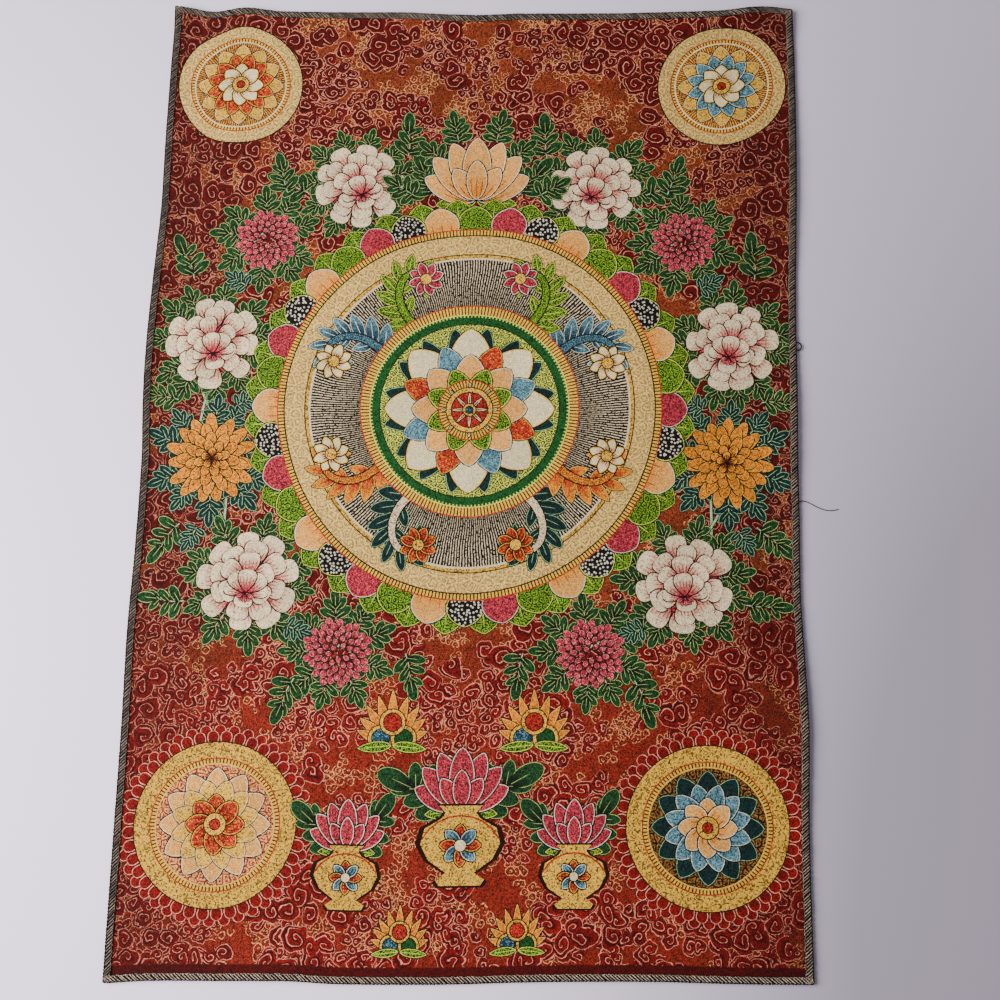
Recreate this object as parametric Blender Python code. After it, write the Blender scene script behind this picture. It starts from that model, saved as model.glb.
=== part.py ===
"""A woven picture cloth with an overlocked edge, lying face up on a flat surface.

One flat sheet, four strips of overlock stitching that wrap its sides and meet in mitres,
and the thread tail that hangs out of the right-hand side. Metres, +Z up. X runs across the
cloth and Y up its length. The origin is under the middle of the cloth, on the surface.
"""

import math
from typing import NamedTuple

import bmesh
import bpy
import numpy as np

MM = 0.001

# The cloth as cut and stitched, before its unevenness.
WIDTH = 600 * MM
LENGTH = 900 * MM
CLOTH_THICKNESS = 1.0 * MM
CLEARANCE = 0.3 * MM

# The overlock stitching: how far it reaches in from the outline, and its thread walls.
EDGE_REACH = 7.4 * MM
EDGE_WALL = 0.4 * MM
EDGE_ROUNDING = 0.4 * MM

# The cloth sits this far in from the outline and above the strips' underside. It comes
# down to the surface between these two distances from the outline.
CLOTH_INSET = EDGE_WALL + CLEARANCE
CLOTH_SEAT = EDGE_WALL + CLEARANCE
SEAT_ENDS = 8 * MM
FLAT_FROM = 16 * MM

# Distances from a side at which the mesh has a line, closer where the edge curls.
RIM_LINES = (8 * MM, 12 * MM, 16 * MM, 28 * MM, 42 * MM, 60 * MM)
OPEN_SPACING = 39 * MM

THREAD_DIAMETER = 0.5 * MM
THREAD_SPACING = 2.5 * THREAD_DIAMETER
THREAD_LIFT = 0.02 * MM


class Offset(NamedTuple):
    """How far a side runs outside a true rectangle, at a place from 0 to 1 along it."""

    along: float
    out_mm: float


class Swell(NamedTuple):
    """A rounded rise of the cloth off the surface, measured from the rectangle's middle."""

    x_mm: float
    y_mm: float
    half_x_mm: float
    half_y_mm: float
    height_mm: float


class RoutePoint(NamedTuple):
    """A point on the middle of the loose thread, measured from the rectangle's middle."""

    x_mm: float
    y_mm: float
    z_mm: float


# Bottom and top run from left to right, left and right run from bottom to top.
BOTTOM_SIDE = (
    Offset(0.00, 6.3),
    Offset(0.06, 3.7),
    Offset(0.16, 2.5),
    Offset(0.26, 1.4),
    Offset(0.33, 3.0),
    Offset(0.42, 2.5),
    Offset(0.50, 1.2),
    Offset(0.58, -1.2),
    Offset(0.67, -3.0),
    Offset(0.78, -4.2),
    Offset(0.90, -3.8),
    Offset(1.00, -4.4),
)
TOP_SIDE = (
    Offset(0.00, 0.6),
    Offset(0.03, -0.6),
    Offset(0.067, -3.2),
    Offset(0.115, 0.0),
    Offset(0.17, -1.6),
    Offset(0.25, -2.3),
    Offset(0.36, -2.4),
    Offset(0.44, -5.0),
    Offset(0.50, -5.2),
    Offset(0.56, -2.4),
    Offset(0.72, -1.2),
    Offset(0.80, 0.5),
    Offset(0.88, 2.6),
    Offset(0.95, 6.2),
    Offset(1.00, 3.4),
)
LEFT_SIDE = (
    Offset(0.00, 2.2),
    Offset(0.12, 1.9),
    Offset(0.24, 1.5),
    Offset(0.33, 2.3),
    Offset(0.41, 0.4),
    Offset(0.50, 0.0),
    Offset(0.56, 2.2),
    Offset(0.61, 2.7),
    Offset(0.66, 2.0),
    Offset(0.71, 0.4),
    Offset(0.77, -2.0),
    Offset(0.85, -1.6),
    Offset(0.94, -2.2),
    Offset(1.00, -3.4),
)
RIGHT_SIDE = (
    Offset(0.00, 1.8),
    Offset(0.10, 1.0),
    Offset(0.17, 1.4),
    Offset(0.24, 2.6),
    Offset(0.31, 0.6),
    Offset(0.37, -1.3),
    Offset(0.44, -0.7),
    Offset(0.51, -0.9),
    Offset(0.60, 0.4),
    Offset(0.67, 1.0),
    Offset(0.74, 2.9),
    Offset(0.83, 5.0),
    Offset(0.94, 5.8),
    Offset(1.00, 4.6),
)

SWELLS = (
    Swell(-300, 452, 36, 30, 4.4),  # the turned-up top left corner
    Swell(-230, 452, 36, 34, 3.2),  # the crest beside it
    Swell(-30, 450, 84, 24, 2.8),  # where the top side rolls up
    Swell(286, 448, 52, 34, 2.6),  # the rounded top right corner
    Swell(-304, 96, 34, 92, 2.0),  # the bulge of the left side
    Swell(304, 280, 30, 110, 1.8),  # the right side, in three low lifts
    Swell(302, 40, 34, 95, 2.6),
    Swell(303, -230, 32, 105, 2.2),
    Swell(-150, -448, 90, 28, 1.2),  # the bottom side
    Swell(-120, 235, 130, 95, 1.6),  # low swells where the cloth doesn't lie tight
    Swell(135, 80, 95, 150, 1.4),
    Swell(-165, -120, 105, 130, 1.7),
    Swell(95, -265, 140, 85, 1.5),
)

THREAD_ROUTE = (
    RoutePoint(299.8, -31.9, 1.25),
    RoutePoint(301.3, -30.8, 1.20),
    RoutePoint(302.5, -30.5, 1.10),
    RoutePoint(303.9, -30.5, 0.92),
    RoutePoint(306.1, -31.0, 0.62),
    RoutePoint(308.3, -31.8, 0.38),
    RoutePoint(310.9, -33.1, 0.28),
    RoutePoint(313.5, -34.5, 0.27),
    RoutePoint(316.3, -35.9, 0.27),
    RoutePoint(319.1, -37.1, 0.27),
    RoutePoint(322.6, -38.3, 0.27),
    RoutePoint(325.4, -38.7, 0.27),
    RoutePoint(328.4, -38.8, 0.27),
    RoutePoint(331.9, -38.4, 0.27),
    RoutePoint(335.2, -37.6, 0.27),
)


def through(before, start, end, after, share):
    """The Catmull-Rom value a share of the way from start to end."""
    return 0.5 * (
        2 * start
        + (end - before) * share
        + (2 * before - 5 * start + 4 * end - after) * share**2
        + (3 * start - before - 3 * end + after) * share**3
    )


def smooth_value(knots, values, at):
    """The value at a place on the smooth curve that goes through values at their knots."""
    last = len(knots) - 1
    i = min(max(int(np.searchsorted(knots, at)) - 1, 0), last - 1)
    share = (at - knots[i]) / (knots[i + 1] - knots[i])
    return through(
        values[max(i - 1, 0)], values[i], values[i + 1], values[min(i + 2, last)], share
    )


def side_offset(side, along):
    return MM * smooth_value(
        [row.along for row in side], [row.out_mm for row in side], along
    )


def uneven(across, up):
    """Where a point of the true rectangle lies, measured from the rectangle's middle.

    across and up run from its bottom left corner. Each side's offset fades across the cloth.
    """
    u, v = across / WIDTH, up / LENGTH
    x = across - WIDTH / 2
    x += side_offset(RIGHT_SIDE, v) * u**2 - side_offset(LEFT_SIDE, v) * (1 - u) ** 2
    y = up - LENGTH / 2
    y += side_offset(TOP_SIDE, u) * v**2 - side_offset(BOTTOM_SIDE, u) * (1 - v) ** 2
    return x, y


def lines_between(size):
    """The distances along one side at which the mesh has a line, clear of its two ends."""
    inner = size - 2 * RIM_LINES[-1]
    count = round(inner / OPEN_SPACING)
    middle = [RIM_LINES[-1] + inner * i / count for i in range(1, count)]
    return [*RIM_LINES, *middle, *(size - line for line in reversed(RIM_LINES))]


def outline_middle():
    """The middle of the outline's own box, which is the part's origin."""
    xs, ys = [], []
    for across in [0, *lines_between(WIDTH), WIDTH]:
        ys += [uneven(across, up)[1] for up in (0, LENGTH)]
        xs += [uneven(across, up)[0] for up in (0, LENGTH)]
    for up in lines_between(LENGTH):
        xs += [uneven(across, up)[0] for across in (0, WIDTH)]
    return (min(xs) + max(xs)) / 2, (min(ys) + max(ys)) / 2


MIDDLE_X, MIDDLE_Y = outline_middle()


def lift(x, y):
    """How far the underside is off the surface, from the swells alone."""
    total = 0.0
    for swell in SWELLS:
        across = (x - swell.x_mm * MM) / (swell.half_x_mm * MM)
        up = (y - swell.y_mm * MM) / (swell.half_y_mm * MM)
        reach = max(0.0, 1 - across**2 - up**2)
        total += swell.height_mm * MM * reach**2
    return total


def placed(across, up, height):
    """A point of the part from its place on the rectangle and its height over the underside."""
    x, y = uneven(across, up)
    return x - MIDDLE_X, y - MIDDLE_Y, lift(x, y) + height


def seat_height(across, up):
    """The underside of the cloth: raised where the stitching wraps it, down further in."""
    inward = min(across, WIDTH - across, up, LENGTH - up)
    share = (FLAT_FROM - inward) / (FLAT_FROM - SEAT_ENDS)
    share = min(max(share, 0.0), 1.0)
    return CLOTH_SEAT * share**2 * (3 - 2 * share)


def plain_material(name, colour, roughness):
    material = bpy.data.materials.new(name)
    material.use_nodes = True
    shader = material.node_tree.nodes["Principled BSDF"]
    shader.inputs["Base Color"].default_value = (*colour, 1.0)
    shader.inputs["Roughness"].default_value = roughness
    shader.inputs["Metallic"].default_value = 0.0
    return material


def mesh_object(name, shape, material):
    """An object from a bmesh whose faces are turned outward, shaded smooth but for its edges."""
    bmesh.ops.recalc_face_normals(shape, faces=shape.faces)
    mesh = bpy.data.meshes.new(name)
    shape.to_mesh(mesh)
    shape.free()
    mesh.shade_smooth()
    mesh.set_sharp_from_angle(angle=math.radians(30))
    mesh.materials.append(material)
    bpy.context.scene.collection.objects.link(bpy.data.objects.new(name, mesh))


def ring_sides(rows, columns):
    """The places round the rim of a grid, in order."""
    bottom = [(i, 0) for i in range(columns - 1)]
    right = [(columns - 1, j) for j in range(rows - 1)]
    top = [(i, rows - 1) for i in range(columns - 1, 0, -1)]
    left = [(0, j) for j in range(rows - 1, 0, -1)]
    return bottom + right + top + left


def make_cloth(material):
    acrosses = [CLOTH_INSET, *lines_between(WIDTH), WIDTH - CLOTH_INSET]
    ups = [CLOTH_INSET, *lines_between(LENGTH), LENGTH - CLOTH_INSET]
    shape = bmesh.new()
    under, over = {}, {}
    for i, across in enumerate(acrosses):
        for j, up in enumerate(ups):
            seat = seat_height(across, up)
            under[i, j] = shape.verts.new(placed(across, up, seat))
            over[i, j] = shape.verts.new(placed(across, up, seat + CLOTH_THICKNESS))
    for i in range(len(acrosses) - 1):
        for j in range(len(ups) - 1):
            corners = ((i, j), (i + 1, j), (i + 1, j + 1), (i, j + 1))
            shape.faces.new([over[corner] for corner in corners])
            shape.faces.new([under[corner] for corner in reversed(corners)])
    rim = ring_sides(len(ups), len(acrosses))
    for here, there in zip(rim, rim[1:] + rim[:1]):
        shape.faces.new([under[here], under[there], over[there], over[here]])
    mesh_object("cloth", shape, material)


def strip_section():
    """The stitching's cross-section: distance in from the outline, and height."""
    channel_top = EDGE_WALL + 2 * CLEARANCE + CLOTH_THICKNESS
    top = channel_top + EDGE_WALL
    return (
        (EDGE_REACH, 0.0),
        (EDGE_ROUNDING, 0.0),
        (0.0, EDGE_ROUNDING),
        (0.0, top - EDGE_ROUNDING),
        (EDGE_ROUNDING, top),
        (EDGE_REACH, top),
        (EDGE_REACH, channel_top),
        (EDGE_WALL, channel_top),
        (EDGE_WALL, EDGE_WALL),
        (EDGE_REACH, EDGE_WALL),
    )


def make_strip(name, size, spot, material):
    """One side's stitching. spot gives the place on the rectangle, along and in from the side."""
    section = strip_section()
    starts = [inward + CLEARANCE for inward, _ in section]
    ends = [size - start for start in starts]
    stations = [starts, *([at] * len(section) for at in lines_between(size)), ends]
    shape = bmesh.new()
    rings = [
        [
            shape.verts.new(placed(*spot(along, inward), height))
            for along, (inward, height) in zip(station, section)
        ]
        for station in stations
    ]
    for ring, beyond in zip(rings, rings[1:]):
        for k in range(len(section)):
            n = (k + 1) % len(section)
            shape.faces.new([ring[k], ring[n], beyond[n], beyond[k]])
    shape.faces.new(rings[0])
    shape.faces.new(list(reversed(rings[-1])))
    mesh_object(name, shape, material)


def make_thread(material):
    """The tail of thread: out of the right-hand stitching, then along the surface."""
    points = np.array(THREAD_ROUTE) * MM - (MIDDLE_X, MIDDLE_Y, -THREAD_LIFT)
    steps = np.linalg.norm(np.diff(points, axis=0), axis=1)
    knots = np.concatenate([[0.0], np.cumsum(steps)])
    count = round(knots[-1] / THREAD_SPACING) + 1
    curve = bpy.data.curves.new("loose_thread", "CURVE")
    curve.dimensions = "3D"
    curve.bevel_depth = THREAD_DIAMETER / 2
    curve.bevel_resolution = 2
    curve.use_fill_caps = True
    spline = curve.splines.new("POLY")
    spline.points.add(count - 1)
    for point, at in zip(spline.points, np.linspace(0.0, knots[-1], count)):
        point.co = (*smooth_value(knots, points, at), 1.0)
    spline.use_smooth = True
    curve.materials.append(material)
    thread = bpy.data.objects.new("loose_thread", curve)
    bpy.context.scene.collection.objects.link(thread)


def main():
    for found in list(bpy.data.objects):
        bpy.data.objects.remove(found, do_unlink=True)
    make_cloth(plain_material("woven brocade", (0.235, 0.110, 0.062), 0.85))
    stitching = plain_material("overlock thread", (0.150, 0.135, 0.095), 0.75)
    make_strip("edge_bottom", WIDTH, lambda along, inward: (along, inward), stitching)
    make_strip(
        "edge_top", WIDTH, lambda along, inward: (along, LENGTH - inward), stitching
    )
    make_strip("edge_left", LENGTH, lambda along, inward: (inward, along), stitching)
    make_strip(
        "edge_right", LENGTH, lambda along, inward: (WIDTH - inward, along), stitching
    )
    make_thread(plain_material("dark thread", (0.020, 0.020, 0.024), 0.70))


main()
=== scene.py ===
"""A woven picture cloth with an overlocked edge, lying face up: its finish, stitching and thread.

The cloth is one closed sheet. Its face is cut along the outlines of the woven figures, so that
each figure has its own finish and its own measure of along and across, and no figure lies loose
on another. Lengths are in metres, and in millimetres where a name or a comment says so.
"""

import math
import random
from functools import cache
from typing import NamedTuple

import bpy
import numpy as np
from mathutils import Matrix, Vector
from mathutils.geometry import delaunay_2d_cdt


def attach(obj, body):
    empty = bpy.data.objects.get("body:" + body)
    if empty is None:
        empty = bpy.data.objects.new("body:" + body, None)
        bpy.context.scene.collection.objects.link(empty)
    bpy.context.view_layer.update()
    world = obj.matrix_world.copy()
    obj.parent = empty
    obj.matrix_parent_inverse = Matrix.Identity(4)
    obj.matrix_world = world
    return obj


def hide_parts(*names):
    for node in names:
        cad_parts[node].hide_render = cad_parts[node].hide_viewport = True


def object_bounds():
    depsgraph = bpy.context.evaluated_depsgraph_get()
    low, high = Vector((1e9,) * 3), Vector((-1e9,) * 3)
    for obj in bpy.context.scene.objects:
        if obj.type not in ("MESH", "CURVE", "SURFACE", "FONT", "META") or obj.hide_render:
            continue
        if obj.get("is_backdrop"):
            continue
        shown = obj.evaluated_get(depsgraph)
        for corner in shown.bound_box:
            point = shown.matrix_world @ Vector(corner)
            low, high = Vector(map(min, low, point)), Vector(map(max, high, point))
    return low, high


bl_info = {
    "name": "Woven Picture Cloth",
    "version": (1, 0, 0),
    "blender": (4, 5, 0),
    "location": "View3D > Sidebar > Brocade",
    "description": "Weaves, stitches and lays out a brocade picture cloth",
    "category": "Object",
}

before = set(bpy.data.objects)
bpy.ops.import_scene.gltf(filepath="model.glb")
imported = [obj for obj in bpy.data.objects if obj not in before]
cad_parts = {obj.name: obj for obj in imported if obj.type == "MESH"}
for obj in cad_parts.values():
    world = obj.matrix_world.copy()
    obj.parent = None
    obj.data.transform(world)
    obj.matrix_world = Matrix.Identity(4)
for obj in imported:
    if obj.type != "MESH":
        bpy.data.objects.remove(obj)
CAD_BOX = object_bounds()

MM = 0.001
SEED = 11


# ---------------------------------------------------------------------------------------
# The cloth's shape: the same unevenness, swells and seat as its solids have.
# ---------------------------------------------------------------------------------------

WIDTH = 600 * MM
LENGTH = 900 * MM
CLOTH_THICKNESS = 1.0 * MM
CLEARANCE = 0.3 * MM
EDGE_REACH = 7.4 * MM
EDGE_WALL = 0.4 * MM
EDGE_ROUNDING = 0.4 * MM
CLOTH_INSET = EDGE_WALL + CLEARANCE
CLOTH_SEAT = EDGE_WALL + CLEARANCE
SEAT_ENDS = 8 * MM
FLAT_FROM = 16 * MM

# The stitching puckers the sides: low ripples that fade into the cloth.
PUCKER_HEIGHT = 0.34 * MM
PUCKER_LENGTH = 31 * MM
PUCKER_FADE = 15 * MM
PUCKER_SWAY = 1.7
PUCKER_SWAY_RATE = 0.37
PUCKER_RIGHT_PHASE = 9


class Swell(NamedTuple):
    """A rounded rise of the cloth off the surface, measured from the rectangle's middle."""

    x_mm: float
    y_mm: float
    half_x_mm: float
    half_y_mm: float
    height_mm: float


# How far each side runs outside a true rectangle: the place from 0 to 1 along it, and the
# millimetres out.
BOTTOM_SIDE = (
    (0.00, 6.3), (0.06, 3.7), (0.16, 2.5), (0.26, 1.4), (0.33, 3.0), (0.42, 2.5), (0.50, 1.2),
    (0.58, -1.2), (0.67, -3.0), (0.78, -4.2), (0.90, -3.8), (1.00, -4.4),
)
TOP_SIDE = (
    (0.00, 0.6), (0.03, -0.6), (0.067, -3.2), (0.115, 0.0), (0.17, -1.6), (0.25, -2.3),
    (0.36, -2.4), (0.44, -5.0), (0.50, -5.2), (0.56, -2.4), (0.72, -1.2), (0.80, 0.5), (0.88, 2.6),
    (0.95, 6.2), (1.00, 3.4),
)
LEFT_SIDE = (
    (0.00, 2.2), (0.12, 1.9), (0.24, 1.5), (0.33, 2.3), (0.41, 0.4), (0.50, 0.0), (0.56, 2.2),
    (0.61, 2.7), (0.66, 2.0), (0.71, 0.4), (0.77, -2.0), (0.85, -1.6), (0.94, -2.2), (1.00, -3.4),
)
RIGHT_SIDE = (
    (0.00, 1.8), (0.10, 1.0), (0.17, 1.4), (0.24, 2.6), (0.31, 0.6), (0.37, -1.3), (0.44, -0.7),
    (0.51, -0.9), (0.60, 0.4), (0.67, 1.0), (0.74, 2.9), (0.83, 5.0), (0.94, 5.8), (1.00, 4.6),
)
SWELLS = (
    Swell(-300, 452, 36, 30, 4.4),
    Swell(-230, 452, 36, 34, 3.2),
    Swell(-30, 450, 84, 24, 2.8),
    Swell(286, 448, 52, 34, 2.6),
    Swell(-304, 96, 34, 92, 2.0),
    Swell(304, 280, 30, 110, 1.8),
    Swell(302, 40, 34, 95, 2.6),
    Swell(303, -230, 32, 105, 2.2),
    Swell(-150, -448, 90, 28, 1.2),
    Swell(-120, 235, 130, 95, 1.6),
    Swell(135, 80, 95, 150, 1.4),
    Swell(-165, -120, 105, 130, 1.7),
    Swell(95, -265, 140, 85, 1.5),
)

THREAD_DIAMETER = 0.72 * MM
THREAD_SPACING = 2.5 * THREAD_DIAMETER
THREAD_LIFT = 0.02 * MM
# The middle of the thread, in millimetres from the rectangle's middle and off the surface.
THREAD_ROUTE = (
    (299.8, -31.9, 1.25), (301.3, -30.8, 1.20), (302.5, -30.5, 1.10), (303.9, -30.5, 0.92),
    (306.1, -31.0, 0.62), (308.3, -31.8, 0.38), (310.9, -33.1, 0.28), (313.5, -34.5, 0.27),
    (316.3, -35.9, 0.27), (319.1, -37.1, 0.27), (322.6, -38.3, 0.27), (325.4, -38.7, 0.27),
    (328.4, -38.8, 0.27), (331.9, -38.4, 0.27), (335.2, -37.6, 0.27),
)


def smooth_values(knots, values, at):
    """Values on the Catmull-Rom curve that goes through the given ones at their knots."""
    knots, values = np.asarray(knots, float), np.asarray(values, float)
    at, last = np.asarray(at, float), len(knots) - 1
    i = np.clip(np.searchsorted(knots, at) - 1, 0, last - 1)
    share = (at - knots[i]) / (knots[i + 1] - knots[i])
    if values.ndim > 1:
        share = share[..., None]
    before, start = values[np.maximum(i - 1, 0)], values[i]
    end, after = values[i + 1], values[np.minimum(i + 2, last)]
    return 0.5 * (
        2 * start
        + (end - before) * share
        + (2 * before - 5 * start + 4 * end - after) * share**2
        + (3 * start - before - 3 * end + after) * share**3
    )


def side_offset(side, along):
    return MM * smooth_values(*zip(*side), along)


def uneven(across, up):
    """Where points of the true rectangle lie, measured from the rectangle's middle."""
    u, v = across / WIDTH, up / LENGTH
    x = across - WIDTH / 2
    x = x + side_offset(RIGHT_SIDE, v) * u**2 - side_offset(LEFT_SIDE, v) * (1 - u) ** 2
    y = up - LENGTH / 2
    y = y + side_offset(TOP_SIDE, u) * v**2 - side_offset(BOTTOM_SIDE, u) * (1 - v) ** 2
    return x, y


def cad_middle():
    """The middle of the stitched outline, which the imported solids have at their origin."""
    across, up = np.linspace(0, WIDTH, 601), np.linspace(0, LENGTH, 901)
    left, right = uneven(0 * up, up)[0], uneven(0 * up + WIDTH, up)[0]
    low, high = uneven(across, 0 * across)[1], uneven(across, 0 * across + LENGTH)[1]
    return (left.min() + right.max()) / 2, (low.min() + high.max()) / 2


MIDDLE_X, MIDDLE_Y = cad_middle()


def lift(across, up):
    """How far the underside is off the surface: the swells, and the puckers by the sides."""
    x, y = uneven(across, up)
    total = np.zeros_like(x)
    for swell in SWELLS:
        aside = (x - swell.x_mm * MM) / (swell.half_x_mm * MM)
        above = (y - swell.y_mm * MM) / (swell.half_y_mm * MM)
        reach = np.maximum(0.0, 1 - aside**2 - above**2)
        total += swell.height_mm * MM * reach**2
    for inward, along in (
        (np.minimum(across, WIDTH - across), up),
        (np.minimum(up, LENGTH - up), across),
    ):
        phase = 2 * math.pi * along / PUCKER_LENGTH
        sway = PUCKER_SWAY * np.sin(PUCKER_SWAY_RATE * phase)
        ripple = np.maximum(0, np.sin(phase + sway + PUCKER_RIGHT_PHASE * (x > 0)))
        total += PUCKER_HEIGHT * np.exp(-inward / PUCKER_FADE) * ripple**2
    return total


def seat_height(across, up):
    """The cloth's underside over the surface: up on its stitching, down further in."""
    inward = np.minimum(np.minimum(across, WIDTH - across), np.minimum(up, LENGTH - up))
    share = np.clip((FLAT_FROM - inward) / (FLAT_FROM - SEAT_ENDS), 0, 1)
    return CLOTH_SEAT * share**2 * (3 - 2 * share)


def placed(across, up, height):
    """Points of the part from their place on the rectangle and height over the underside."""
    across, up = np.asarray(across, float), np.asarray(up, float)
    x, y = uneven(across, up)
    return np.stack([x - MIDDLE_X, y - MIDDLE_Y, lift(across, up) + height], axis=-1)


# ---------------------------------------------------------------------------------------
# Yarns: the colours the cloth is woven and stitched in, and its plain sizes.
# ---------------------------------------------------------------------------------------

WARP_PITCH_MM = 0.46
WEFT_PITCH_MM = 0.52
PLY_MM = 0.7
PLY_DEPTH = 0.05 * MM

# Red, green and blue of each yarn, and of the floor, from 0 to 255 on a colour card.
YARNS = {
    "ink": (7, 5, 5), "crimson": (100, 11, 8), "deep_crimson": (50, 4, 3),
    "bright_crimson": (130, 17, 16), "rust": (132, 54, 28), "rose_line": (242, 154, 124),
    "tan_line": (246, 168, 108), "leaf_green": (30, 68, 34), "leaf_shadow": (10, 25, 13),
    "leaf_edge": (177, 197, 111), "teal": (17, 45, 45), "teal_edge": (157, 204, 150),
    "cream": (240, 217, 176), "ivory": (234, 226, 202), "pale_gold": (238, 200, 116),
    "pale_lime": (216, 221, 90), "lime": (128, 170, 34), "moss": (23, 36, 9),
    "emerald": (20, 74, 30), "pink": (181, 53, 66), "blush": (235, 143, 141), "plum": (34, 4, 7),
    "orange": (230, 138, 36), "burnt_orange": (118, 48, 22), "brown": (36, 10, 4),
    "gold": (235, 179, 66), "old_gold": (143, 94, 38), "peach": (235, 172, 94),
    "coral": (172, 43, 29), "sky": (100, 143, 154), "lake": (25, 58, 74), "umber": (18, 14, 12),
    "olive_thread": (50, 45, 36), "tan_thread": (232, 204, 180), "dark_thread": (24, 21, 17),
    "floor": (243, 230, 252),
}


def linear(card):
    """A linear colour from the values of a colour card."""
    return tuple(c / 255 / 12.92 if c <= 10 else ((c / 255 + 0.055) / 1.055) ** 2.4 for c in card)


def yarn(name):
    return (*linear(YARNS[name]), 1.0)


class Finish(NamedTuple):
    """How one kind of petal or leaf is woven.

    Its outline's rise and fall, the line along its rim, the yarns at its base and tip with the
    shares of its length where they fade into each other, and its inner marks: their kind, yarn
    and share. It may have a band inside the rim (yarn, width in mm, share of the length where it
    starts) and veins (count, yarn, width in mm, share of the length where they end).
    """

    rise: float
    fall: float
    rim: str
    rim_mm: float
    base: str
    tip: str
    fade_from: float
    fade_to: float
    marks: tuple
    band: tuple = ()
    veins: tuple = ()

    @property
    def peak(self):
        """What the curve of rise and fall is multiplied by to be 1 where it is widest."""
        top = self.rise / (self.rise + self.fall)
        return 1 / (top**self.rise * (1 - top) ** self.fall)


PETALS = {
    "green_leaf": Finish(
        0.50, 0.48, "ink", 0.90, "leaf_shadow", "leaf_green", 0.05, 0.60, ("specks", "leaf_shadow", 0.30),
        band=("leaf_edge", 0.55, 0.12), veins=(1, "leaf_edge", 0.35, 0.60),
    ),
    "teal_leaf": Finish(
        0.52, 0.60, "ink", 0.90, "teal", "teal", 0.2, 0.9, ("specks", "leaf_shadow", 0.35),
        band=("teal_edge", 0.50, 0.15), veins=(1, "teal_edge", 0.40, 0.70),
    ),
    "sky_leaf": Finish(
        0.55, 0.70, "ink", 0.90, "lake", "sky", 0.2, 0.9, ("specks", "lake", 0.20),
        band=("ivory", 0.55, 0.05), veins=(1, "ivory", 0.50, 0.80),
    ),
    "lime_leaf": Finish(
        0.55, 0.70, "ink", 0.95, "moss", "moss", 0.1, 0.7, ("curls", "lime", 0.95),
        band=("pale_lime", 0.60, 0.0), veins=(1, "pale_lime", 0.50, 0.90),
    ),
    "cream_petal": Finish(
        0.72, 0.30, "plum", 1.25, "pink", "cream", 0.15, 0.82, ("specks", "old_gold", 0.12),
        veins=(5, "pink", 0.75, 0.74),
    ),
    "orange_petal": Finish(
        0.75, 0.42, "brown", 1.20, "burnt_orange", "orange", 0.10, 0.80, ("specks", "burnt_orange", 0.26),
        band=("gold", 0.50, 0.45), veins=(3, "brown", 0.70, 0.70),
    ),
    "pink_petal": Finish(
        0.60, 0.40, "plum", 1.00, "plum", "pink", 0.10, 0.60, ("specks", "blush", 0.14),
        band=("blush", 0.35, 0.40),
    ),
    "scallop": Finish(
        0.50, 0.34, "deep_crimson", 0.80, "crimson", "bright_crimson", 0.1, 0.8, ("specks", "crimson", 0.2),
        band=("rose_line", 0.80, 0.0),
    ),
    "flame": Finish(
        0.50, 0.80, "brown", 0.90, "coral", "orange", 0.1, 0.7, ("specks", "coral", 0.2),
        band=("gold", 0.70, 0.0), veins=(1, "coral", 0.70, 0.70),
    ),
    "lotus_cream": Finish(
        0.62, 0.62, "ink", 1.25, "pink", "cream", 0.10, 0.70, ("specks", "pale_lime", 0.20),
        band=("gold", 0.9, 0.0), veins=(5, "plum", 0.80, 0.50),
    ),
    "lotus_pink": Finish(
        0.62, 0.62, "ink", 1.25, "pink", "pink", 0.1, 0.9, ("specks", "plum", 0.26),
        band=("ivory", 0.7, 0.0),
    ),
    "lotus_peach": Finish(
        0.62, 0.62, "ink", 1.25, "orange", "peach", 0.1, 0.8, ("specks", "orange", 0.24),
        band=("ivory", 0.7, 0.0), veins=(3, "burnt_orange", 0.6, 0.6),
    ),
    "lotus_green": Finish(
        0.62, 0.62, "ink", 1.25, "moss", "moss", 0.2, 0.8, ("curls", "lime", 0.95),
        band=("pale_lime", 0.8, 0.0),
    ),
    "lotus_dark": Finish(
        0.62, 0.62, "ink", 1.25, "umber", "umber", 0.1, 0.9, ("dots", "ivory", 0.85),
        band=("pale_lime", 0.7, 0.0),
    ),
    "lotus_blue": Finish(
        0.62, 0.62, "ink", 1.25, "lake", "sky", 0.1, 0.8, ("specks", "lake", 0.24),
        band=("ivory", 0.6, 0.0), veins=(3, "lake", 0.8, 0.8),
    ),
    "lotus_red": Finish(
        0.62, 0.62, "ink", 1.25, "crimson", "coral", 0.1, 0.8, ("specks", "orange", 0.24),
        band=("gold", 0.6, 0.0), veins=(3, "crimson", 0.8, 0.8),
    ),
    "gold_petal": Finish(
        0.60, 0.60, "brown", 1.00, "old_gold", "gold", 0.1, 0.7, ("specks", "brown", 0.20),
        band=("cream", 0.50, 0.0), veins=(3, "brown", 0.7, 0.7),
    ),
}


class Round(NamedTuple):
    """How one kind of disc is woven: its ground, its marks and the line round it."""

    ground: str
    mark: str
    marks: str
    mark_size_mm: float
    mark_share: float
    rim: str = ""
    rim_mm: float = 0.0


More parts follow.
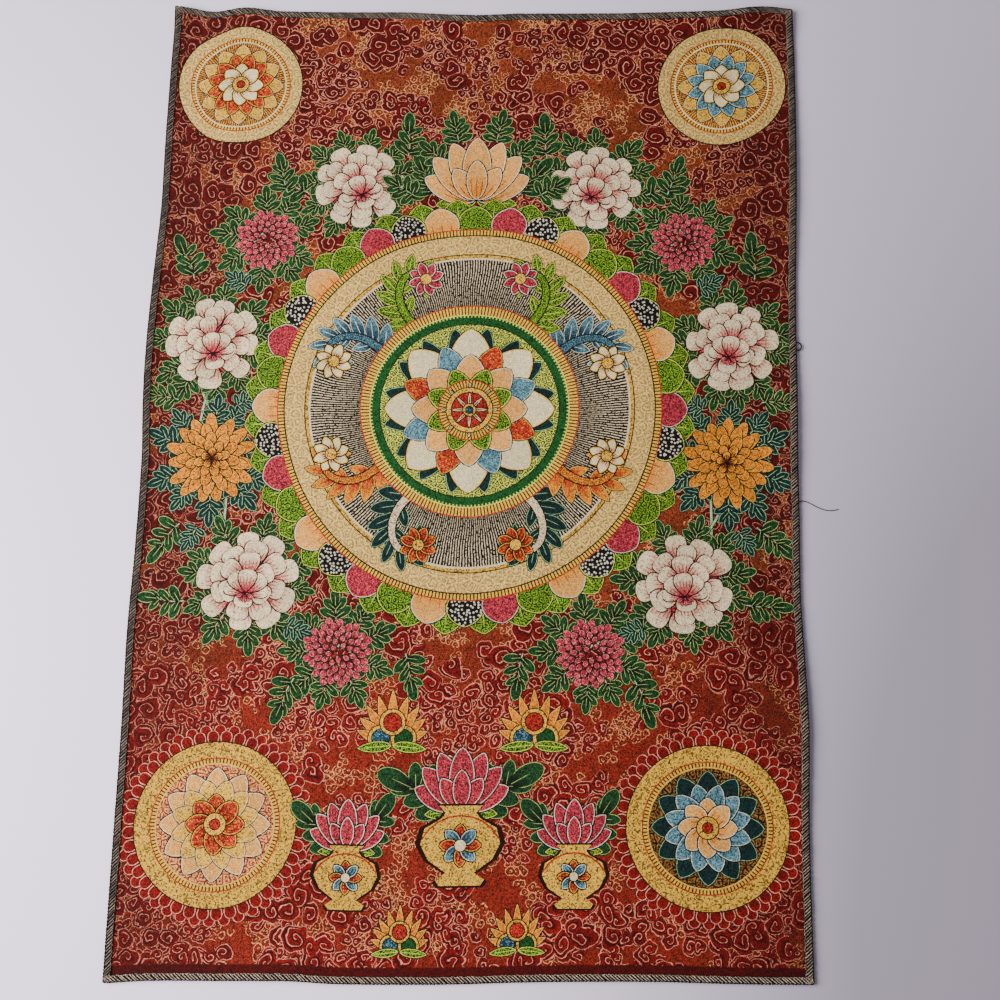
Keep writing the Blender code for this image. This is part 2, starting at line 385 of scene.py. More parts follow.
ROUNDS = {
    "cream_band": Round("pale_gold", "old_gold", "scrolls", 8.5, 0.62, "ink", 1.2),
    "gold_band": Round("gold", "brown", "specks", 1.1, 0.34, "brown", 1.0),
    "rays": Round("ink", "cream", "rays", 2.7, 0.40, "cream", 1.8),
    "orange_rays": Round("burnt_orange", "gold", "rays", 2.4, 0.42, "cream", 1.4),
    "fringe": Round("gold", "brown", "ticks", 3.2, 0.38, "coral", 1.1),
    "emerald_band": Round("emerald", "pale_lime", "dots", 3.4, 0.34, "pale_lime", 0.9),
    "lime_scrolls": Round("pale_lime", "moss", "scrolls", 5.5, 1.0, "moss", 1.0),
    "rust_field": Round("rust", "tan_line", "scrolls", 7, 0.9, "gold", 1.2),
    "dark_field": Round("umber", "old_gold", "scrolls", 7, 0.9, "gold", 1.2),
    "gold_disc": Round("gold", "brown", "specks", 1.0, 0.26, "brown", 1.0),
    "coral_disc": Round("coral", "crimson", "specks", 1.0, 0.30, "ink", 0.9),
    "cream_disc": Round("cream", "gold", "specks", 1.0, 0.25, "plum", 0.9),
    "lake_disc": Round("lake", "sky", "specks", 1.0, 0.30, "ink", 0.9),
    "emerald_disc": Round("emerald", "moss", "specks", 1.0, 0.30, "ink", 0.9),
    "pink_disc": Round("pink", "plum", "specks", 1.0, 0.35, "plum", 0.9),
    "lime_ribbon": Round("lime", "moss", "scrolls", 5.0, 0.9),
    "lake_ribbon": Round("lake", "sky", "scrolls", 4.5, 0.8),
    "orange_ribbon": Round("orange", "burnt_orange", "scrolls", 5.0, 0.9),
    "cream_ribbon": Round("cream", "old_gold", "specks", 1.0, 0.30),
}

STRIPES = {
    "ink_line": "ink",
    "stem": "teal_edge",
    "coral_line": "coral",
    "brown_line": "brown",
}


class BrocadeSizes(bpy.types.PropertyGroup):
    """Sizes of the weave and its stitching that a user would change."""

    stitch_spread: bpy.props.FloatProperty(
        name="Stitch Spread",
        description="Share of their measured spacing at which the overlock stitches are set",
        default=1.0,
        min=0.5,
        subtype="FACTOR",
    )
    thread_radius: bpy.props.FloatProperty(
        name="Stitching Thread Radius",
        description="Half the thickness of the overlock thread",
        default=0.33 * MM,
        unit="LENGTH",
    )
    weave_depth: bpy.props.FloatProperty(
        name="Weave Depth",
        description="How far the weave's bump stands out",
        default=0.12 * MM,
        unit="LENGTH",
    )
    mesh_step: bpy.props.FloatProperty(
        name="Mesh Step",
        description="Distance between the points that carry the cloth's swells",
        default=9 * MM,
        unit="LENGTH",
    )


class BrocadeColours(bpy.types.PropertyGroup):
    """Colours that a user would change; the figures' yarns are in the table of yarns."""

    ground: bpy.props.FloatVectorProperty(
        name="Ground",
        description="Yarn of the ground behind the figures",
        default=linear(YARNS["crimson"]),
        subtype="COLOR",
        size=3,
    )
    overlock: bpy.props.FloatVectorProperty(
        name="Overlock",
        description="Thread that covers the sides",
        default=linear(YARNS["olive_thread"]),
        subtype="COLOR",
        size=3,
    )
    floor: bpy.props.FloatVectorProperty(
        name="Floor",
        description="Pale surface that the cloth lies on",
        default=linear(YARNS["floor"]),
        subtype="COLOR",
        size=3,
    )


# ---------------------------------------------------------------------------------------
# Shader nodes
# ---------------------------------------------------------------------------------------

FLOAT, COLOUR, VECTOR = "NodeSocketFloat", "NodeSocketColor", "NodeSocketVector"


def math_node(operation, swapped=False):
    """A method that adds the math node for an arithmetic sign."""

    def method(self, other=None):
        values = (other, self) if swapped else (self, other)
        return self.wiring.math(operation, *values)

    return method


class Value:
    """A node's output in a formula, where each arithmetic sign becomes a math node."""

    def __init__(self, wiring, socket):
        self.wiring, self.socket = wiring, socket

    __add__ = math_node("ADD")
    __sub__ = math_node("SUBTRACT")
    __rsub__ = math_node("SUBTRACT", swapped=True)
    __mul__ = math_node("MULTIPLY")
    __truediv__ = math_node("DIVIDE")
    __rtruediv__ = math_node("DIVIDE", swapped=True)
    __abs__ = math_node("ABSOLUTE")


class Outputs:
    """The outputs of a node as values, by name or number."""

    def __init__(self, wiring, sockets):
        self.wiring, self.sockets = wiring, sockets

    def __getitem__(self, key):
        return Value(self.wiring, self.sockets[key])


class Wiring:
    """Adds nodes to a tree and joins them. An input is a value, a number or a yarn's name."""

    def __init__(self, tree, material=None):
        self.tree, self.material = tree, material

    def put(self, value, socket):
        if isinstance(value, Value):
            self.tree.links.new(value.socket, socket)
        elif value is not None:
            socket.default_value = yarn(value) if isinstance(value, str) else value

    def node(self, kind, inputs=None, **settings):
        node = self.tree.nodes.new(kind)
        for name, value in settings.items():
            setattr(node, name, value)
        for key, value in (inputs or {}).items():
            self.put(value, node.inputs[key])
        return Outputs(self, node.outputs)

    def math(self, operation, *values, clamp=False):
        inputs = dict(enumerate(values))
        return self.node("ShaderNodeMath", inputs, operation=operation, use_clamp=clamp)[0]

    def vector(self, operation, first, second=None, output="Vector"):
        inputs = {0: first, 3 if operation == "SCALE" else 1: second}
        return self.node("ShaderNodeVectorMath", inputs, operation=operation)[output]

    def mix(self, share, first, second, blend="MIX"):
        settings = {"data_type": "RGBA", "blend_type": blend, "clamp_factor": True}
        return self.node("ShaderNodeMix", {0: share, 6: first, 7: second}, **settings)[2]

    def step(self, value, start, end):
        """0 below start and 1 above end, smooth between; start may be the larger one."""
        inputs = {"Value": value, "From Min": start, "From Max": end}
        return self.node("ShaderNodeMapRange", inputs, interpolation_type="SMOOTHSTEP")[0]

    def parts(self, vector):
        found = self.node("ShaderNodeSeparateXYZ", {"Vector": vector})
        return found["X"], found["Y"]

    def joined(self, x, y, z=None):
        return self.node("ShaderNodeCombineXYZ", {"X": x, "Y": y, "Z": z})[0]

    def map_of(self, name):
        """A UV map of the cloth, in millimetres."""
        return self.vector("SCALE", self.node("ShaderNodeUVMap", uv_map=name)["UV"], 1000.0)

    def tone(self):
        """The tone of a figure or thread, which has a UV map of its own."""
        return self.parts(self.node("ShaderNodeUVMap", uv_map="tone")["UV"])[0]

    def object_place(self):
        return self.node("ShaderNodeTexCoord")["Object"]

    def noise(self, vector, scale, detail=1.0, output="Fac", dimensions="2D"):
        inputs = {"Vector": vector, "Scale": scale, "Detail": detail}
        return self.node("ShaderNodeTexNoise", inputs, noise_dimensions=dimensions)[output]

    def chance(self, vector):
        """A number from 0 to 1 by chance, another one for each vector."""
        inputs = {"Vector": vector}
        return self.node("ShaderNodeTexWhiteNoise", inputs, noise_dimensions="2D")["Value"]

    def cells(self, vector, randomness, scale=1.0, feature="F1"):
        inputs = {"Vector": vector, "Scale": scale, "Randomness": randomness}
        settings = {"voronoi_dimensions": "2D", "feature": feature}
        return self.node("ShaderNodeTexVoronoi", inputs, **settings)

    def group(self, tree, inputs):
        return self.node("ShaderNodeGroup", inputs, node_tree=tree)

    def give(self, results):
        """Joins values to the outputs of a group, which is then complete."""
        self.node("NodeGroupOutput", results)
        return self.tree

    def shade(self, inputs):
        """Joins values to the shader of a material, which is then complete."""
        shader = self.tree.nodes["Principled BSDF"]
        for name, value in inputs.items():
            self.put(value, shader.inputs[name])
        return self.material


def new_group(name, inputs, outputs):
    """The wiring of a new node group with named sockets, and its inputs as values."""
    tree = bpy.data.node_groups.new(name, "ShaderNodeTree")
    for way, sockets in (("INPUT", inputs), ("OUTPUT", outputs)):
        for title, kind in sockets.items():
            tree.interface.new_socket(title, in_out=way, socket_type=kind)
    wiring = Wiring(tree)
    return wiring, wiring.node("NodeGroupInput")


def new_material(name):
    material = bpy.data.materials.new(name)
    material.use_nodes = True
    return Wiring(material.node_tree, material)


@cache
def weave_group():
    """Turns a figure's colour into yarns: cells of weft with warp showing between."""
    w, given = new_group(
        "brocade weave",
        {"Colour": COLOUR, "Warp": COLOUR, "Plan": VECTOR, "Tone": FLOAT},
        {"Colour": COLOUR, "Height": FLOAT, "Roughness": FLOAT},
    )
    x, y = w.parts(given["Plan"])
    column_at, row_at = x / WARP_PITCH_MM, y / WEFT_PITCH_MM
    column, row = w.math("FLOOR", column_at), w.math("FLOOR", row_at)
    cell = w.joined(column, row)
    fine = w.chance(cell)
    coarse = w.chance(w.vector("FLOOR", w.vector("SCALE", cell, 0.6)))
    cloudy = w.noise(given["Plan"], 0.02, 2.0)
    bright = w.node("ShaderNodeRGBToBW", {"Color": given["Colour"]})[0]
    strength = w.step(bright, 0.10, 0.55) * -1.05 + 1.5
    weft_round = abs(w.math("SINE", row_at * math.pi))
    warp_round = abs(w.math("SINE", column_at * math.pi))
    grain = (fine * 0.70 + 0.65) * ((coarse - 0.5) * strength + 0.87)
    grain = grain * (cloudy * 0.24 + 0.88) * (given["Tone"] * 0.10 + 1.0)
    # Painted shade: each weft yarn's colour darkens towards its sides, in the grooves between yarns.
    grain = grain * (weft_round * 0.50 + 0.68)
    woven = w.mix(1.0, given["Colour"], w.joined(grain, grain, grain), blend="MULTIPLY")
    satin = w.math("FLOORED_MODULO", row * 2.0 + column, 5.0)
    warp_shows = w.math("LESS_THAN", satin, 0.5)
    return w.give(
        {
            "Colour": w.mix(warp_shows * 0.5, woven, given["Warp"]),
            "Height": warp_round * 0.35 + weft_round - warp_shows * 0.5 + fine * 0.35,
            "Roughness": coarse * 0.16 + 0.66,
        }
    )


@cache
def speck_group():
    """Square specks of the weave, set by chance, that cover a share of a figure."""
    w, given = new_group(
        "woven specks", {"Plan": VECTOR, "Size": FLOAT, "Share": FLOAT}, {"Mask": FLOAT}
    )
    cells = w.vector("FLOOR", w.vector("SCALE", given["Plan"], 1.0 / given["Size"]))
    return w.give({"Mask": w.math("LESS_THAN", w.chance(cells), given["Share"])})


@cache
def thread_group():
    """Twisted sewing thread: fine slanting ply marks and fibres in a darker colour."""
    w, given = new_group(
        "twisted thread",
        {"Place": VECTOR, "Colour": COLOUR, "Dark": COLOUR, "Ply": FLOAT},
        {"Colour": COLOUR, "Height": FLOAT, "Roughness": FLOAT},
    )
    place, dark = given["Place"], given["Dark"]
    wave = {"Vector": place, "Scale": 1.0 / given["Ply"], "Distortion": 1.2, "Detail": 1.0}
    ply = w.node("ShaderNodeTexWave", wave, bands_direction="DIAGONAL")["Fac"]
    grain = w.noise(place, 0.8, 2.0, dimensions="3D")
    mixed = w.mix(w.step(ply, 0.7, 0.2) * 0.45, given["Colour"], dark)
    mixed = w.mix(w.step(grain, 0.60, 0.42) * 0.62, mixed, dark)
    return w.give({"Colour": mixed, "Height": ply, "Roughness": grain * 0.3 + 0.5})


@cache
def petal_group():
    """Distances on a petal from its own measure of along and across, in millimetres."""
    names = ("Along", "Across", "Length", "Half Width", "Rise", "Fall", "Peak")
    results = ("Inside", "Share", "Side", "Width")
    w, given = new_group(
        "petal measure", dict.fromkeys(names, FLOAT), dict.fromkeys(results, FLOAT)
    )
    share = w.math("MAXIMUM", given["Along"] / given["Length"], 0.004)
    share = w.math("MINIMUM", share, 0.996)
    left = 1.0 - share
    width = given["Half Width"] * given["Peak"]
    width = width * w.math("POWER", share, given["Rise"]) * w.math("POWER", left, given["Fall"])
    slope = (given["Rise"] / share - given["Fall"] / left) * width / given["Length"]
    steep = w.math("SQRT", slope * slope + 1.0)
    inside = (width - abs(given["Across"])) / steep
    side = given["Across"] / width
    return w.give({"Inside": inside, "Share": share, "Side": side, "Width": width})


def drifting_cells(w, given, drift_scale, detail, drift_share, randomness, shift=None):
    """Places on the cloth in a group's size, moved about by noise, and the cells they are in."""
    drift = w.noise(given["Plan"], drift_scale / given["Size"], detail, "Color")
    drift = w.vector("SUBTRACT", drift, (0.5, 0.5, 0.5))
    place = w.vector("SCALE", drift, given["Size"] * drift_share)
    place = w.vector("ADD", given["Plan"], place)
    if shift:
        place = w.vector("ADD", place, shift)
    place = w.vector("SCALE", place, 1.0 / given["Size"])
    return place, w.cells(place, randomness)


def winding(w, place, cells, turns_out):
    """How far a place is from one turn of its cell's curl to the next, and the cell's chances."""
    x, y = w.parts(w.vector("SUBTRACT", place, cells["Position"]))
    turn = w.math("ARCTAN2", y, x) / (2 * math.pi)
    chance, start = w.parts(cells["Color"])
    hand = w.math("SIGN", chance - 0.5)
    return w.math("FRACT", turn * hand + turns_out + start), chance, start


@cache
def scroll_group():
    """Packed curls: a spiral line in each cell and a line round the cell."""
    sizes = dict.fromkeys(("Size", "Pitch", "Line"), FLOAT)
    w, given = new_group("packed curls", {"Plan": VECTOR, **sizes}, {"Line": FLOAT})
    size, pitch, line = given["Size"], given["Pitch"], given["Line"]
    place, cells = drifting_cells(w, given, 1.6, 1.0, 0.42, 0.9)
    phase, _, _ = winding(w, place, cells, cells["Distance"] * size / pitch)
    half = line * 0.5
    spiral = w.step(abs(phase - 0.5) * pitch, half + 0.18, half - 0.12)
    edge = w.cells(place, 0.9, feature="DISTANCE_TO_EDGE")["Distance"] * size
    spiral = spiral * w.step(edge, line * 1.5, line * 2.2)
    rim = w.step(abs(edge - line), half + 0.1, half - 0.15)
    return w.give({"Line": w.math("MAXIMUM", spiral, rim)})


@cache
def cloud_group():
    """Cloud heads: round lobes in clusters, each with a rim line and a curl inside it."""
    sizes = dict.fromkeys(("Size", "Pitch", "Line", "Cluster", "Share"), FLOAT)
    results = dict.fromkeys(("Cover", "Line", "Shadow", "Tone"), FLOAT)
    w, given = new_group("cloud heads", {"Plan": VECTOR, "Shift": VECTOR, **sizes}, results)
    size, pitch, line = given["Size"], given["Pitch"], given["Line"]
    place, cells = drifting_cells(w, given, 0.9, 2.0, 0.70, 0.85, given["Shift"])
    middle = w.vector("SCALE", cells["Position"], size)
    cluster = w.noise(middle, 1.0 / given["Cluster"])
    present = w.math("GREATER_THAN", given["Share"], cluster)
    away = cells["Distance"] * size
    phase, chance, start = winding(w, place, cells, away / pitch)
    inside = size * (chance * 0.22 + 0.44) - away
    cover = w.step(inside, -0.1, 0.1) * present
    half, room = line * 0.5, line * 3.2
    curl = w.step(abs(phase - 0.5) * pitch, half + 0.15, half - 0.15)
    curl = curl * w.step(inside, room, room + 0.5)
    rim = w.step(abs(inside - half), half + 0.1, half * 0.5)
    lines = w.math("MAXIMUM", curl, rim) * cover
    shadow = w.step(abs(phase - 0.76), 0.16, 0.08) * cover
    return w.give({"Cover": cover, "Line": lines, "Shadow": shadow, "Tone": start})


# ---------------------------------------------------------------------------------------
# Materials of the cloth
# ---------------------------------------------------------------------------------------

# Where the ground changes, in millimetres from the middle: where it starts and is done.
LOWER_PART = (-90.0, -230.0)
OUTER_PARTS = (170.0, 290.0)
SELVEDGE = (-436.0, -437.5)

# Layers of the ground: size of the heads and shift of the layer in millimetres, the share of
# the ground they cover, and how far the crimson ones darken.
TAN_CURLS = ((6.5, 0.0, 0.47), (5.8, 131.0, 0.44))
CRIMSON_CLOUDS = ((10.0, 57.0, 0.47, 0.60), (13.5, 203.0, 0.46, 0.50), (19.0, 341.0, 0.46, 0.35))


def woven(w, colour, tone=0.0):
    """A material's colour put through the weave and into a cloth shader."""
    inputs = {"Colour": colour, "Warp": "umber", "Plan": w.map_of("plan"), "Tone": tone}
    out = w.group(weave_group(), inputs)
    depth = bpy.context.scene.brocade_sizes.weave_depth
    bump = {"Height": out["Height"], "Distance": depth, "Strength": 0.7}
    return w.shade(
        {
            "Base Color": out["Colour"],
            "Roughness": out["Roughness"],
            "Specular IOR Level": 0.1,
            "Sheen Weight": 0.045,
            "Sheen Roughness": 0.45,
            "Normal": w.node("ShaderNodeBump", bump)[0],
        }
    )


def specks(w, size_mm, share):
    given = {"Plan": w.map_of("plan"), "Size": size_mm, "Share": share}
    return w.group(speck_group(), given)["Mask"]


def curls(w, size_mm, pitch_mm, line_mm):
    inputs = {"Plan": w.map_of("plan"), "Size": size_mm, "Pitch": pitch_mm, "Line": line_mm}
    return w.group(scroll_group(), inputs)["Line"]


def mottle(w, kind, share):
    """The mask of a figure's inner marks: woven specks, round dots or small curls."""
    if kind == "dots":
        dots = w.cells(w.map_of("plan"), 0.8, scale=0.30)
        return w.step(dots["Distance"], 0.32, 0.24) * share
    if kind == "curls":
        return curls(w, 5.5, 2.5, 0.9) * share
    return specks(w, 1.0, share) * 0.65


def petal_material(name, finish):
    w = new_material(name)
    along, across = w.parts(w.map_of("figure"))
    length, half_width = w.parts(w.map_of("span"))
    given = {"Along": along, "Across": across, "Length": length, "Half Width": half_width}
    given |= {"Rise": finish.rise, "Fall": finish.fall, "Peak": finish.peak}
    out = w.group(petal_group(), given)
    share = out["Share"]
    inside = out["Inside"] + (w.noise(w.map_of("plan"), 0.5) * 0.5 - 0.25)
    colour = w.mix(w.step(share, finish.fade_from, finish.fade_to), finish.base, finish.tip)
    kind, speck, cover = finish.marks
    colour = w.mix(mottle(w, kind, cover), colour, speck)
    if finish.veins:
        count, vein_yarn, width, end = finish.veins
        gap = 2 / (count + 1)
        place = out["Side"] / gap
        off = abs(place - w.math("ROUND", place)) * gap * out["Width"]
        vein = w.step(off, width / 2 + 0.15, width / 2 - 0.1) * w.step(share, end, end * 0.75)
        colour = w.mix(vein, colour, vein_yarn)
    if finish.band:
        band_yarn, width, start = finish.band
        edge = finish.rim_mm + width
        band = w.step(inside, edge + 0.1, edge - 0.2)
        if start:
            band = band * w.step(share, start, start + 0.15)
        colour = w.mix(band, colour, band_yarn)
    rim = w.step(inside, finish.rim_mm + 0.12, finish.rim_mm - 0.15)
    return woven(w, w.mix(rim, colour, finish.rim), w.tone())


def marks_of(w, form, radius, turn, rim_radius):
    """The mask of a disc's marks: specks, ticks, rays, dots or curls."""
    size, share, plan = form.mark_size_mm, form.mark_share, w.map_of("plan")
    if form.marks == "specks":
        return specks(w, size, share) * 0.75
    if form.marks == "scrolls":
        return curls(w, size, size * 0.42, size * 0.17) * share
    phase = turn * w.math("ROUND", rim_radius * (2 * math.pi / size))
    if form.marks == "rays":
        phase = phase + (w.noise(plan, 0.022) * 2.5 + w.noise(plan, 0.25) * 0.35)
    off = abs(w.math("FRACT", phase) - 0.5)
    lines = w.step(off, share / 2 + 0.07, share / 2 - 0.07)
    if form.marks == "rays":
        lines = lines * w.step(w.noise(plan, 0.5), 0.30, 0.48)
        lines = lines * w.step(radius / rim_radius, 0.35, 0.95)
    if form.marks == "dots":
        inward = rim_radius - radius
        lines = lines * w.step(inward, 2.8, 2.4) * w.step(inward, 0.9, 1.2)
    return lines


def round_material(name, form):
    w = new_material(name)
    centred = w.map_of("figure")
    x, y = w.parts(centred)
    rim_radius = w.parts(w.map_of("span"))[0]
    radius = w.vector("LENGTH", centred, output="Value")
    turn = w.math("ARCTAN2", y, x) / (2 * math.pi)
    colour = w.mix(marks_of(w, form, radius, turn, rim_radius), form.ground, form.mark)
    if form.rim_mm:
        rim = w.step(rim_radius - radius, form.rim_mm + 0.15, form.rim_mm - 0.15)
        colour = w.mix(rim, colour, form.rim)
    return woven(w, colour, w.tone())


def stripe_material(name, colour):
    w = new_material(name)
    return woven(w, w.mix(specks(w, 0.9, 0.2) * 0.4, colour, "umber"))


def ground_material(name):
    """The ground: rust with tan curls, under banks of crimson clouds with rose lines."""
    w = new_material(name)
    plan = w.map_of("plan")
    across, up = w.parts(plan)
    lower, aside = w.step(up, *LOWER_PART), w.step(abs(across), *OUTER_PARTS)
    line_share = aside * -0.46 + 0.92

    def heads(size, shift, pitch, line, cluster, share):
        given = {"Plan": plan, "Shift": shift, "Size": size, "Pitch": pitch}
        given |= {"Line": line, "Cluster": cluster, "Share": share}
        return w.group(cloud_group(), given)

    crimson = (*bpy.context.scene.brocade_colours.ground, 1.0)
    crimson = w.mix(lower, crimson, "bright_crimson")
    crimson = w.mix(aside * 0.45, crimson, "deep_crimson")
    drift = w.noise(w.vector("ADD", plan, (70.0, 10.0, 0.0)), 0.02, 2.0)
    colour = w.mix(w.step(drift, 0.40, 0.60), "rust", "burnt_orange")
    colour = w.mix(lower * 0.6, colour, crimson)
    colour = w.mix(aside * 0.35, colour, "brown")
    for size, shift, share in TAN_CURLS:
        curl = heads(size, (shift, 0.6 * shift, 0), 2.4, 0.68, 30.0, lower * -0.05 + share)
        colour = w.mix(curl["Shadow"] * 0.7, colour, "brown")
        colour = w.mix(curl["Line"] * line_share, colour, "tan_line")
    for size, shift, share, dim in CRIMSON_CLOUDS:
        covers = aside * 0.10 + share
        cloud = heads(size, (shift, -0.7 * shift, 0), 0.30 * size, 0.66, 75.0, covers)
        fill = w.mix(cloud["Tone"] * dim, crimson, "deep_crimson")
        fill = w.mix(cloud["Shadow"] * 0.85, fill, "deep_crimson")
        colour = w.mix(cloud["Cover"], colour, fill)
        colour = w.mix(cloud["Line"] * line_share, colour, "rose_line")
    plain = w.mix(0.82, crimson, "deep_crimson")
    return woven(w, w.mix(w.step(up, *SELVEDGE), colour, plain))


def reverse_material(name):
    """The back: long floats of every weft, dull and streaked across the cloth."""
    w = new_material(name)
    x, y = w.parts(w.map_of("plan"))
    streak = w.joined(x * 0.06, y)
    first = w.noise(streak, 0.9, 3.0)
    second = w.noise(w.vector("ADD", streak, (33.0, 71.0, 0.0)), 0.35, 2.0)
    colour = w.mix(w.step(first, 0.35, 0.62), "umber", "rust")
    colour = w.mix(w.step(second, 0.48, 0.70), colour, "old_gold")
    colour = w.mix(w.step(second, 0.46, 0.30), colour, "moss")
    return woven(w, colour)


def cloth_materials():
    """The materials of the cloth by name, in the order of their slots."""
    made = {"ground": ground_material("ground"), "reverse": reverse_material("reverse")}
    for make, table in (
        (petal_material, PETALS), (round_material, ROUNDS), (stripe_material, STRIPES),
    ):
        made |= {name: make(name, row) for name, row in table.items()}
    return made


# ---------------------------------------------------------------------------------------
# Drafting the figures, in millimetres from the middle of the true rectangle, and degrees
# ---------------------------------------------------------------------------------------


def polar(x, y, reach, turn):
    """The point at a distance from another, at an angle."""
    at = math.radians(turn)
    return x + reach * math.cos(at), y + reach * math.sin(at)


def arc(x, y, radius, start, end, steps):
    return [polar(x, y, radius, start + (end - start) * i / steps) for i in range(steps + 1)]


def mirrored(hand, turn):
    """An angle as it is on the right-hand side for hand 1, and its mirror image for -1."""
    return 90 - hand * (90 - turn)


class Figure(NamedTuple):
    """One woven figure: its outline, finish, and where its own measure starts and points."""

    outline: list
    finish: str
    x: float
    y: float
    turn: float
    length: float
    half_width: float
    tone: float


class Draft:
    """The figures in the order in which they cover each other, the last on top."""

    def __init__(self, seed):
        self.figures = []
        self.chance = random.Random(seed)

    def add(self, outline, finish, x, y, turn=0.0, length=1.0, half_width=1.0):
        """Adds a figure, with its outline turned to run anticlockwise, as the cut needs."""
        onward = outline[1:] + outline[:1]
        if sum(ax * by - bx * ay for (ax, ay), (bx, by) in zip(outline, onward)) < 0:
            outline = outline[::-1]
        tone = self.chance.uniform(-1, 1)
        self.figures.append(Figure(outline, finish, x, y, turn, length, half_width, tone))

    def petal(self, x, y, turn, length, half_width, finish, steps=7):
        """A petal or leaflet from its base, pointing at an angle."""
        form = PETALS[finish]
        turn = math.radians(turn)
        shares = [(1 - math.cos(math.pi * i / steps)) / 2 for i in range(1, steps)]
        wide = half_width * form.peak
        side = [(s * length, wide * s**form.rise * (1 - s) ** form.fall) for s in shares]
        local = [(0, 0), *side, (length, 0), *((a, -b) for a, b in reversed(side))]
        cos, sin = math.cos(turn), math.sin(turn)
        outline = [(x + a * cos - b * sin, y + a * sin + b * cos) for a, b in local]
        self.add(outline, finish, x, y, turn, length, half_width)

    def fan(self, x, y, turn, size, finish, rows, steps=7):
        """Petals from one point: angles aside, and shares of a size for length and half width."""
        for aside, reach, width in rows:
            self.petal(x, y, turn + aside, size * reach, size * width, finish, steps)

    def disc(self, x, y, radius, finish, steps=None):
        steps = steps or max(16, int(radius * 0.9))
        self.add(arc(x, y, radius, 0, 360, steps)[:-1], finish, x, y, 0.0, radius, radius)

    def strip(self, points, width, finish, taper=1.0):
        """A stem or line through points, tapering to a share of its width."""
        left, right = [], []
        for i, (x, y) in enumerate(points):
            before, after = points[max(i - 1, 0)], points[min(i + 1, len(points) - 1)]
            dx, dy = after[0] - before[0], after[1] - before[1]
            size = math.hypot(dx, dy) or 1.0
            half = width / 2 * (1 + (taper - 1) * i / (len(points) - 1))
            left.append((x - dy / size * half, y + dx / size * half))
            right.append((x + dy / size * half, y - dx / size * half))
        self.add(left + right[::-1], finish, *points[0])

    def stem(self, points, width):
        self.strip(points, width + 1.1, "ink_line", 0.8)
        self.strip(points, width, "stem", 0.7)

    def ring_of_petals(
        self, x, y, count, length, half_width, finishes, start=90.0, inner=0.0, wobble=0.0
    ):
        """Petals round a point, from an inner radius, taking the finishes in turn."""
        for i in range(count):
            turn = start + 360 * i / count + self.chance.uniform(-wobble, wobble)
            grown = length * (1 + self.chance.uniform(-wobble, wobble) / 60)
            base = polar(x, y, inner, turn)
            self.petal(*base, turn, grown, half_width, finishes[i % len(finishes)])


def spray(draft, x, y, turn, size, pairs=3):
    """A leafy sprig: pairs of leaflets up a stem and one at its tip."""
    bend = draft.chance.uniform(-0.35, 0.35)
    points = []
    for t in (0, 0.25, 0.5, 0.75, 1):
        middle = polar(x, y, size * 0.62 * t, turn)
        points.append(polar(*middle, bend * size * 0.5 * t * t, turn + 90))
    draft.stem(points, 1.1)
    for k in range(pairs):
        t = 0.18 + 0.72 * k / max(pairs - 1, 1)
        place = min(int(t * 4), 3)
        part = t * 4 - place
        px, py = (a * (1 - part) + b * part for a, b in zip(points[place], points[place + 1]))
        grown = size * (0.46 - 0.05 * k)
        for hand in (-1, 1):
            tilt = 62 - 10 * k + draft.chance.uniform(-6, 6)
            draft.petal(px, py, turn + hand * tilt, grown, grown * 0.30, "green_leaf", 6)
    lean = math.degrees(bend * 0.9)
    draft.petal(*points[-1], turn + lean, size * 0.50, size * 0.155, "green_leaf", 6)


def leaf(draft, x, y, turn, size, finish="green_leaf"):
    """A broad cut leaf: three pairs of blunt leaflets close together up its rib, and its tip."""
    rib = size * 0.60
    draft.stem([(x, y), polar(x, y, rib, turn)], 1.0)
    for k in range(3):
        t = (k + 0.15) / 3
        reach = size * (0.40 + 0.09 * math.sin(math.pi * (t + 0.2)))
        for hand in (-1, 1):
            tilt = 80 - 50 * t + draft.chance.uniform(-5, 5)
            base = polar(x, y, rib * t, turn)
            draft.petal(*base, turn + hand * tilt, reach, size * 0.145, finish, 6)
    draft.petal(*polar(x, y, rib * 0.86, turn), turn, size * 0.50, size * 0.155, finish, 6)


def peony(draft, x, y, radius, turn):
    """A full peony: rings of round petals, the inner ones on top, and a cup below the middle."""
    draft.disc(x, y, radius * 0.70, "pink_disc", 24)
    for count, reach, width, inner, start in (
        (9, 0.62, 0.26, 0.40, 10), (8, 0.56, 0.24, 0.24, 34), (6, 0.50, 0.22, 0.08, 0),
    ):
        for i in range(count):
            way = turn + start + 360 * i / count + draft.chance.uniform(-5, 5)
            grown = radius * reach * draft.chance.uniform(0.92, 1.08)
            wide = radius * width * draft.chance.uniform(0.90, 1.10)
            base = polar(x, y, inner * radius, way)
            draft.petal(*base, way + draft.chance.uniform(-9, 9), grown, wide, "cream_petal")
    base = polar(x, y, 0.24 * radius, turn + 180)
    cup = (
        (80, 0.46, 0.15), (-80, 0.46, 0.15), (42, 0.50, 0.19), (-42, 0.50, 0.19), (2, 0.48, 0.21),
    )
    draft.fan(*base, turn, radius, "cream_petal", cup)
    sepals = [(aside, 0.20, 0.055) for aside in (150, -150, 180, 118, -118)]
    draft.fan(*base, turn, radius, "pink_petal", sepals, 5)


def curl_points(x, y, turn, size, hand, curl, steps):
    """Points along a line that sets out at an angle and winds up into a curl."""
    points, heading = [(x, y)], math.radians(turn)
    for i in range(1, steps + 1):
        t = i / steps
        heading += hand * curl * (0.08 + 0.55 * t**3)
        step = size / steps * (1.25 - 0.75 * t)
        x, y = x + step * math.cos(heading), y + step * math.sin(heading)
        points.append((x, y))
    return points


